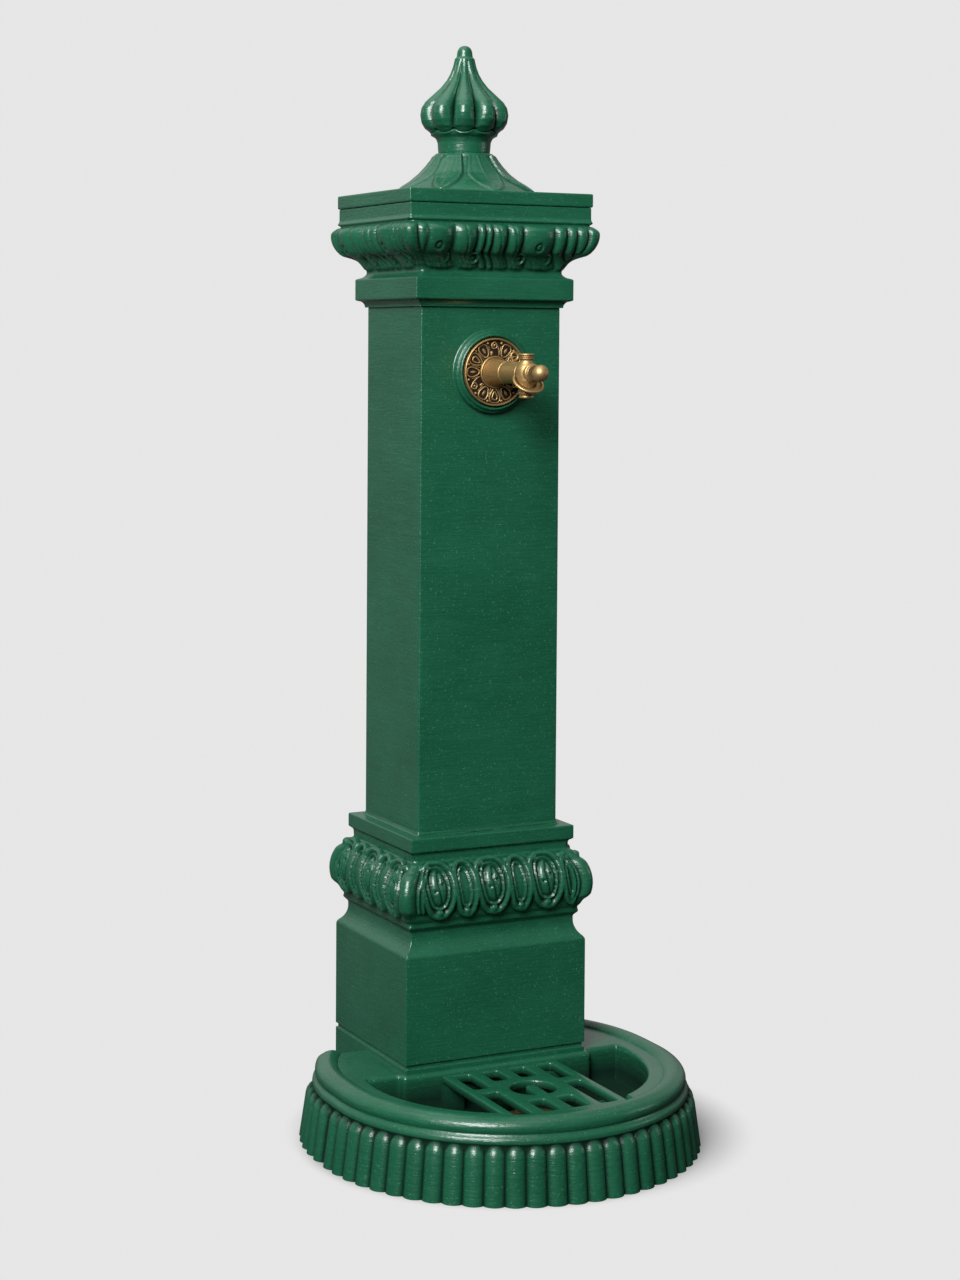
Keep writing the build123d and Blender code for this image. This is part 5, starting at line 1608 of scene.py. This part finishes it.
BARREL_LINE = [(5, -37), (10, -37), (10, 8.5), (15.3, 8.5), (15.5, 9.4), (15.0, 11), (14.3, 13.6),
               (13.6, 18), (13.05, 24), (12.7, 31), (12.5, 37), (12.4, 39.2), (11.9, 40), (8, 40), (8, 50),
               (5, 50)]
TOP_CAP_LINE = [(POLE_RADIUS, 9.6), (3.5, 9.6), (3.5, 16.0), (7.0, 16.0), (7.5, 16.5), (7.5, 18.0),
                (8.2, 18.4), (8.5, 18.9), (8.5, 20.0), (8.0, 20.5), (6.8, 20.6), (POLE_RADIUS, 20.8)]
turned_piece("barrel_cast", "tap_barrel", BARREL_LINE, 0.4)
turned_piece("top_cap_turned", "top_cap", TOP_CAP_LINE, 0.25, upright=True, closed=False)

# %% Gland, button and nozzle
GLAND_LINE = [(2.55, 89), (5.95, 89), (5.95, 97), (9.7, 97), (10.1, 97.6), (10.0, 98.8), (9.2, 99.3),
              (8.2, 99.6), (7.9, 100.0), (8.5, 100.5), (8.6, 101.5), (8.0, 102.2), (6.6, 102.4),
              (2.55, 102.4)]
# How dark the painted shade in the gland's neck is
GLAND_NECK_OUT, GLAND_NECK_REACH, GLAND_SHADE = 99.1, 8.3, 0.45
BALL_RADIUS, BALL_OUT, BALL_START = 8.9, 115.0, -0.78
# Where the painted shade on the back of the ball starts, how far it fades in, and how dark it gets
BALL_SHADE_OUT, BALL_SHADE_LENGTH, BALL_SHADE = BALL_OUT - 4.6, 3, 0.6
STEM_LINE = [(POLE_RADIUS, 71), (2.5, 71), (2.5, 107.6), (5.6, 107.6), (6.0, 107.9), (6.2, 108.3)]
NOZZLE_LINE = [(5, -27), (7.2, -27), (7.9, -26.3), (7.9, -24.7), (7.3, -23.9), (6.6, -23.6), (6.6, -23),
               (5, -23)]


def gland_shade(reach, out):
    """Painted shade in the narrow neck of the gland."""
    return GLAND_SHADE * ((out > GLAND_NECK_OUT) & (reach < GLAND_NECK_REACH))


def ball_shade(_reach, out):
    """Painted shade on the back of the ball and on its stem, next to the gland."""
    return np.clip((BALL_SHADE_OUT - out) / BALL_SHADE_LENGTH, 0, BALL_SHADE)


turned_piece("gland_turned", "button_gland", GLAND_LINE, 0.2, dark=gland_shade)
ball_turns = np.linspace(BALL_START, math.pi / 2, 24)[:-1]
ball = [(BALL_RADIUS * math.cos(t), BALL_OUT + BALL_RADIUS * math.sin(t)) for t in ball_turns]
button_line = STEM_LINE + ball + [(POLE_RADIUS, BALL_OUT + BALL_RADIUS)]
turned_piece("button_turned", "push_button", button_line, 0.3, closed=False, dark=ball_shade)
turned_piece("nozzle_turned", "spout_nozzle", NOZZLE_LINE, 0.3, upright=True)

# %% Shells of the head
NECK_TOP = 15.9
TUBE_LINE = [(POLE_RADIUS, 40.1), (10.9, 40.1), (11.7, 41.2), (12.0, 43), (11.9, 52), (11.7, 66),
             (11.7, 77.4), (POLE_RADIUS, 77.4)]
HEAD_LINE = [(5, -23.5), (7.6, -23.5), (8.4, -22.6), (8.4, -18), (8.6, -15), (9.8, -12.2), (11.0, -8.6),
             (11.6, -3), (11.6, 1), (11.2, 4.2), (9.8, 7.4), (8.2, 9.6), (7.2, 11.4), (6.8, 13.2),
             (7.0, 14.4), (7.9, 14.9), (8.0, 15.6), (7.5, NECK_TOP), (POLE_RADIUS, NECK_TOP),
             (POLE_RADIUS, -1), (5, -1)]
GLAND_BOSS_LINE = [(POLE_RADIUS, 88.5), (9.0, 88.5), (8.2, 92), (7.9, 95), (8.0, 97), (POLE_RADIUS, 97)]
BRIM_LINE = [(7, -0.6), (10.0, 0.0), (13.2, 1.3), (15.4, 2.8), (16.8, 3.2), (17.7, 4.4), (17.4, 5.8),
             (16.2, 6.4), (15.1, 5.8), (14.4, 4.4), (12.2, 3.1), (9.4, 2.2), (7, 2.0)]
BRIM_TILT, BRIM_AHEAD, BRIM_DROP = math.radians(38), 1.5, 14
EYELET_LINE = [(3.1, -1.3), (3.6, -2.0), (4.9, -2.0), (5.4, -1.3), (5.4, 1.3), (4.9, 2.0), (3.6, 2.0),
               (3.1, 1.3)]
EYELET_OUT, EYELET_HEIGHT = 54.5, 17.5
POST_LINE = [(POLE_RADIUS, 8), (5.2, 8), (5.0, 10.4), (3.6, 12.0), (3.0, 13.4), (POLE_RADIUS, 13.4)]
POST_FLATNESS = 0.62


def brim_shell():
    """The dish under the head, tilted to the front and a little ahead of the head's axis."""
    points, faces = turned_shell(soft_line(BRIM_LINE, 0.5, closed=True), 120)
    x, y, z = points.T
    lean_y = y * math.cos(BRIM_TILT) - z * math.sin(BRIM_TILT)
    lean_z = y * math.sin(BRIM_TILT) + z * math.cos(BRIM_TILT)
    return head_axis((np.stack([x, lean_y - BRIM_AHEAD, lean_z - BRIM_DROP], 1), faces))


def eyelet_shells():
    """A ring that faces the front, on a short post behind the top cap."""
    ring, ring_faces = tap_axis(turned_shell(soft_line(EYELET_LINE, 0.4, closed=True), 60))
    post, post_faces = turned_shell(POST_LINE, 40, closed=False)
    post = post * [1, POST_FLATNESS, 1] + [0, -SHAFT_Y - EYELET_OUT, TAP_Z]
    return [(ring + [0, -EYELET_OUT, EYELET_HEIGHT], ring_faces), (post, post_faces)]


head_line = soft_line(HEAD_LINE, 0.4, closed=True)
head = joined_shells("tap_cast", [tap_axis(turned_shell(TUBE_LINE, TAP_COLUMNS, closed=False)),
                                  head_axis(turned_shell(head_line, TAP_COLUMNS)),
                                  tap_axis(turned_shell(GLAND_BOSS_LINE, TAP_COLUMNS, closed=False)),
                                  brim_shell()] + eyelet_shells())
shade(head)
print("head's shells have", len(head.data.polygons), "faces")

# %% Head, remeshed and bored
VOXEL, SMOOTH_SHARE, SMOOTH_ROUNDS = 0.42 * MM, 0.5, 5
WATER_WAY_LINE = [(POLE_RADIUS, 38), (8.05, 38), (8.05, 50), (7, 50), (7, 76), (4, 76), (4, 78.5),
                  (6, 78.5), (6, 99), (POLE_RADIUS, 99)]
SPOUT_BORE_LINE = [(POLE_RADIUS, -27), (5, -27), (5, -0.5), (POLE_RADIUS, -0.5)]
CAP_BORE_LINE = [(POLE_RADIUS, 8.7), (3.55, 8.7), (3.55, 18), (POLE_RADIUS, 18)]

remesh = head.modifiers.new("remesh", "REMESH")
remesh.mode, remesh.voxel_size, remesh.adaptivity = "VOXEL", VOXEL, 0.0
smooth = head.modifiers.new("smooth", "SMOOTH")
smooth.factor, smooth.iterations = SMOOTH_SHARE, SMOOTH_ROUNDS
apply_modifiers(head)
cut(head, [tap_axis(turned_shell(WATER_WAY_LINE, 64, closed=False)),
           head_axis(turned_shell(SPOUT_BORE_LINE, 64, closed=False)),
           head_axis(turned_shell(CAP_BORE_LINE, 48, closed=False))])
finish(head, "tap_body", 45)

# %% [markdown]
# ## Return spring
#
# The spring behind the valve is a wound wire. A curve with a bevel would do, but seven turns are easy to
# write as a grid that follows a helix. It is made at rest: its far end stands on the barrel's spigot, and
# its near end at the valve's cup.

# %% Return spring
COILS, COIL_REACH, WIRE_RADIUS, END_ROOM, PUSH = 7, 4.9, 0.6, 0.05, 5.0
COIL_STEPS, WIRE_SIDES = 40, 10
spring_low, spring_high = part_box("return_spring")
far_end, near_end = (-SHAFT_Y - (corner[1] - AXIS_Y) / MM for corner in (spring_high, spring_low))
spring_length = near_end - far_end
share = np.linspace(0, 1, COILS * COIL_STEPS + 1)[:, None]
round_wire = np.arange(WIRE_SIDES) / WIRE_SIDES * math.tau
reach = COIL_REACH + WIRE_RADIUS * np.cos(round_wire)
end_gap = END_ROOM + WIRE_RADIUS
out = far_end + end_gap + share * (spring_length - 2 * end_gap) + WIRE_RADIUS * np.sin(round_wire)
coil_turn = share * COILS * math.tau
wire_points = np.stack([reach * np.cos(coil_turn), reach * np.sin(coil_turn), out], 2).reshape(-1, 3)
wire_faces = grid_faces(len(share), WIRE_SIDES, rows_closed=False) + end_caps(len(share), WIRE_SIDES)
spring = new_mesh_object("spring_wound", *tap_axis((wire_points, wire_faces)))
finish(spring, "return_spring", 60)
1 - PUSH / spring_length
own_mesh(spring)

# %% [markdown]
# ## Floor and light
#
# A pale sweep and soft light from the upper left, as in a product studio. The camera sees the floor and
# the room in one even pale grey, through Light Path, and the floor still darkens close to the object. A
# shadow from the lamps would be lost in so pale a floor, so two round shades in its colour stand for it.
# What the enamel reflects is another matter: the floor and the room are brighter behind the object and dark
# in front of it, so the front faces stay deep green while level tops and the left flank carry a pale sheen.

# %% Floor
BACKDROP, BACKDROP_TINT = 0.80, (1.0, 0.993, 0.993)
FLOOR_HALF, FLOOR_DARK, FLOOR_SHEEN = 15.0, 0.025, 0.17
# A shade has its middle, its edge's radius and width in metres, then how it falls off and how deep it is
SHADES = [((0, 0.004, 0), 0.208, 0.022, 2.0, 0.42), ((0.034, 0.03, 0), 0.196, 0.066, 1.5, 0.72)]


def light_left(shop, place, middle, edge, width, falloff, depth):
    """The share of the light that a round shade leaves."""
    inputs = {0: place, 1: middle}
    away = shop.node("ShaderNodeVectorMath", {"operation": "DISTANCE"}, inputs, output="Value")
    shade = (1.0 - ((away - edge) / width).clamped()) ** falloff
    return 1.0 - shade * depth


def make_floor_material():
    """Even and pale for the camera, dark in front and with a sheen behind for all other rays."""
    material, shop = new_material("pale_floor")
    place = shop.place()
    contact, cast = (light_left(shop, place, *values) for values in SHADES)
    seen_colour = shop.mix(contact * cast, colour(0, 0, 0), colour(*BACKDROP_TINT))
    seen = shop.node("ShaderNodeEmission", (), {"Color": seen_colour, "Strength": BACKDROP})
    matt = shop.node("ShaderNodeBsdfDiffuse", (), {"Color": colour(FLOOR_DARK, FLOOR_DARK, FLOOR_DARK)})
    sheen = shop.node("ShaderNodeEmission", (), {"Color": colour(1, 1, 1), "Strength": FLOOR_SHEEN})
    behind = shop.part(place, "Y").clamped()
    others = shop.node("ShaderNodeMixShader", (), {"Fac": behind, 1: matt, 2: sheen})
    path = shop.node("ShaderNodeLightPath", (), (), output="Is Camera Ray")
    surface = shop.node("ShaderNodeMixShader", (), {"Fac": path, 1: others, 2: seen})
    shop.node("ShaderNodeOutputMaterial", (), {"Surface": surface})
    return material


floor_mesh = bpy.data.meshes.new("studio_floor")
floor_corners = [(x * FLOOR_HALF, y * FLOOR_HALF, 0) for x, y in ((-1, -1), (1, -1), (1, 1), (-1, 1))]
floor_mesh.from_pydata(floor_corners, [], [(0, 1, 2, 3)])
floor_mesh.materials.append(make_floor_material())
floor = in_scene("studio_floor", floor_mesh)
print("floor shades", len(SHADES))

# %% World and lamps
ROOM_BASE, ROOM_TOP = 0.05, 0.2
BACK_SLOPE, BACK_START, BACK_RANGE = 1.3, 0.18, (0.08, 0.52)
# A lamp has its place, the height that it aims at, its two sides and its power
LAMPS = {
    "key_softbox": ((-2.1, -1.9, 2.5), 0.7, (1.5, 1.9), 205),
    "glint_lamp": ((-2.2, -2.6, 2.3), 0.6, (0.34, 0.42), 20),
    "rim_lamp": ((3.0, -1.2, 1.2), 0.6, (0.4, 0.6), 6),
    "top_softbox": ((-0.5, 0.2, 3.2), 0.6, (2.6, 2.6), 28),
}


def make_world():
    """A dim room that is brighter behind the object, and the plain backdrop for the camera."""
    world = bpy.data.worlds.new("studio")
    bpy.context.scene.world = world
    world.use_nodes = True
    world.node_tree.nodes.clear()
    shop = Shop(world.node_tree)
    way = shop.node("ShaderNodeTexCoord", (), (), output="Generated")
    back = shop.part(way, "Y").clamped()
    height = shop.part(way, "Z")
    behind = back * (height.clamped() * BACK_SLOPE + BACK_START).clamped(*BACK_RANGE)
    strength = behind + (height * ROOM_TOP).clamped(0.0, ROOM_TOP) + ROOM_BASE
    room = shop.node("ShaderNodeBackground", (), {"Color": colour(1, 1, 1), "Strength": strength})
    seen = shop.node("ShaderNodeBackground", (), {"Color": colour(*BACKDROP_TINT), "Strength": BACKDROP})
    path = shop.node("ShaderNodeLightPath", (), (), output="Is Camera Ray")
    blend = shop.node("ShaderNodeMixShader", (), {"Fac": path, 1: room, 2: seen})
    shop.node("ShaderNodeOutputWorld", (), {"Surface": blend})


def make_lamp(name, place, aim, size, power):
    """A soft area lamp that looks at the column, at a height."""
    data = bpy.data.lights.new(name, "AREA")
    data.shape = "RECTANGLE"
    data.size, data.size_y = size
    data.energy = power
    lamp = in_scene(name, data)
    lamp.location = place
    towards = Vector((0, AXIS_Y, aim)) - Vector(place)
    lamp.rotation_euler = towards.to_track_quat("-Z", "Y").to_euler()


make_world()
for name, values in LAMPS.items():
    make_lamp(name, *values)
bpy.context.scene.view_settings.view_transform = "Standard"
print("lamps", len(LAMPS))
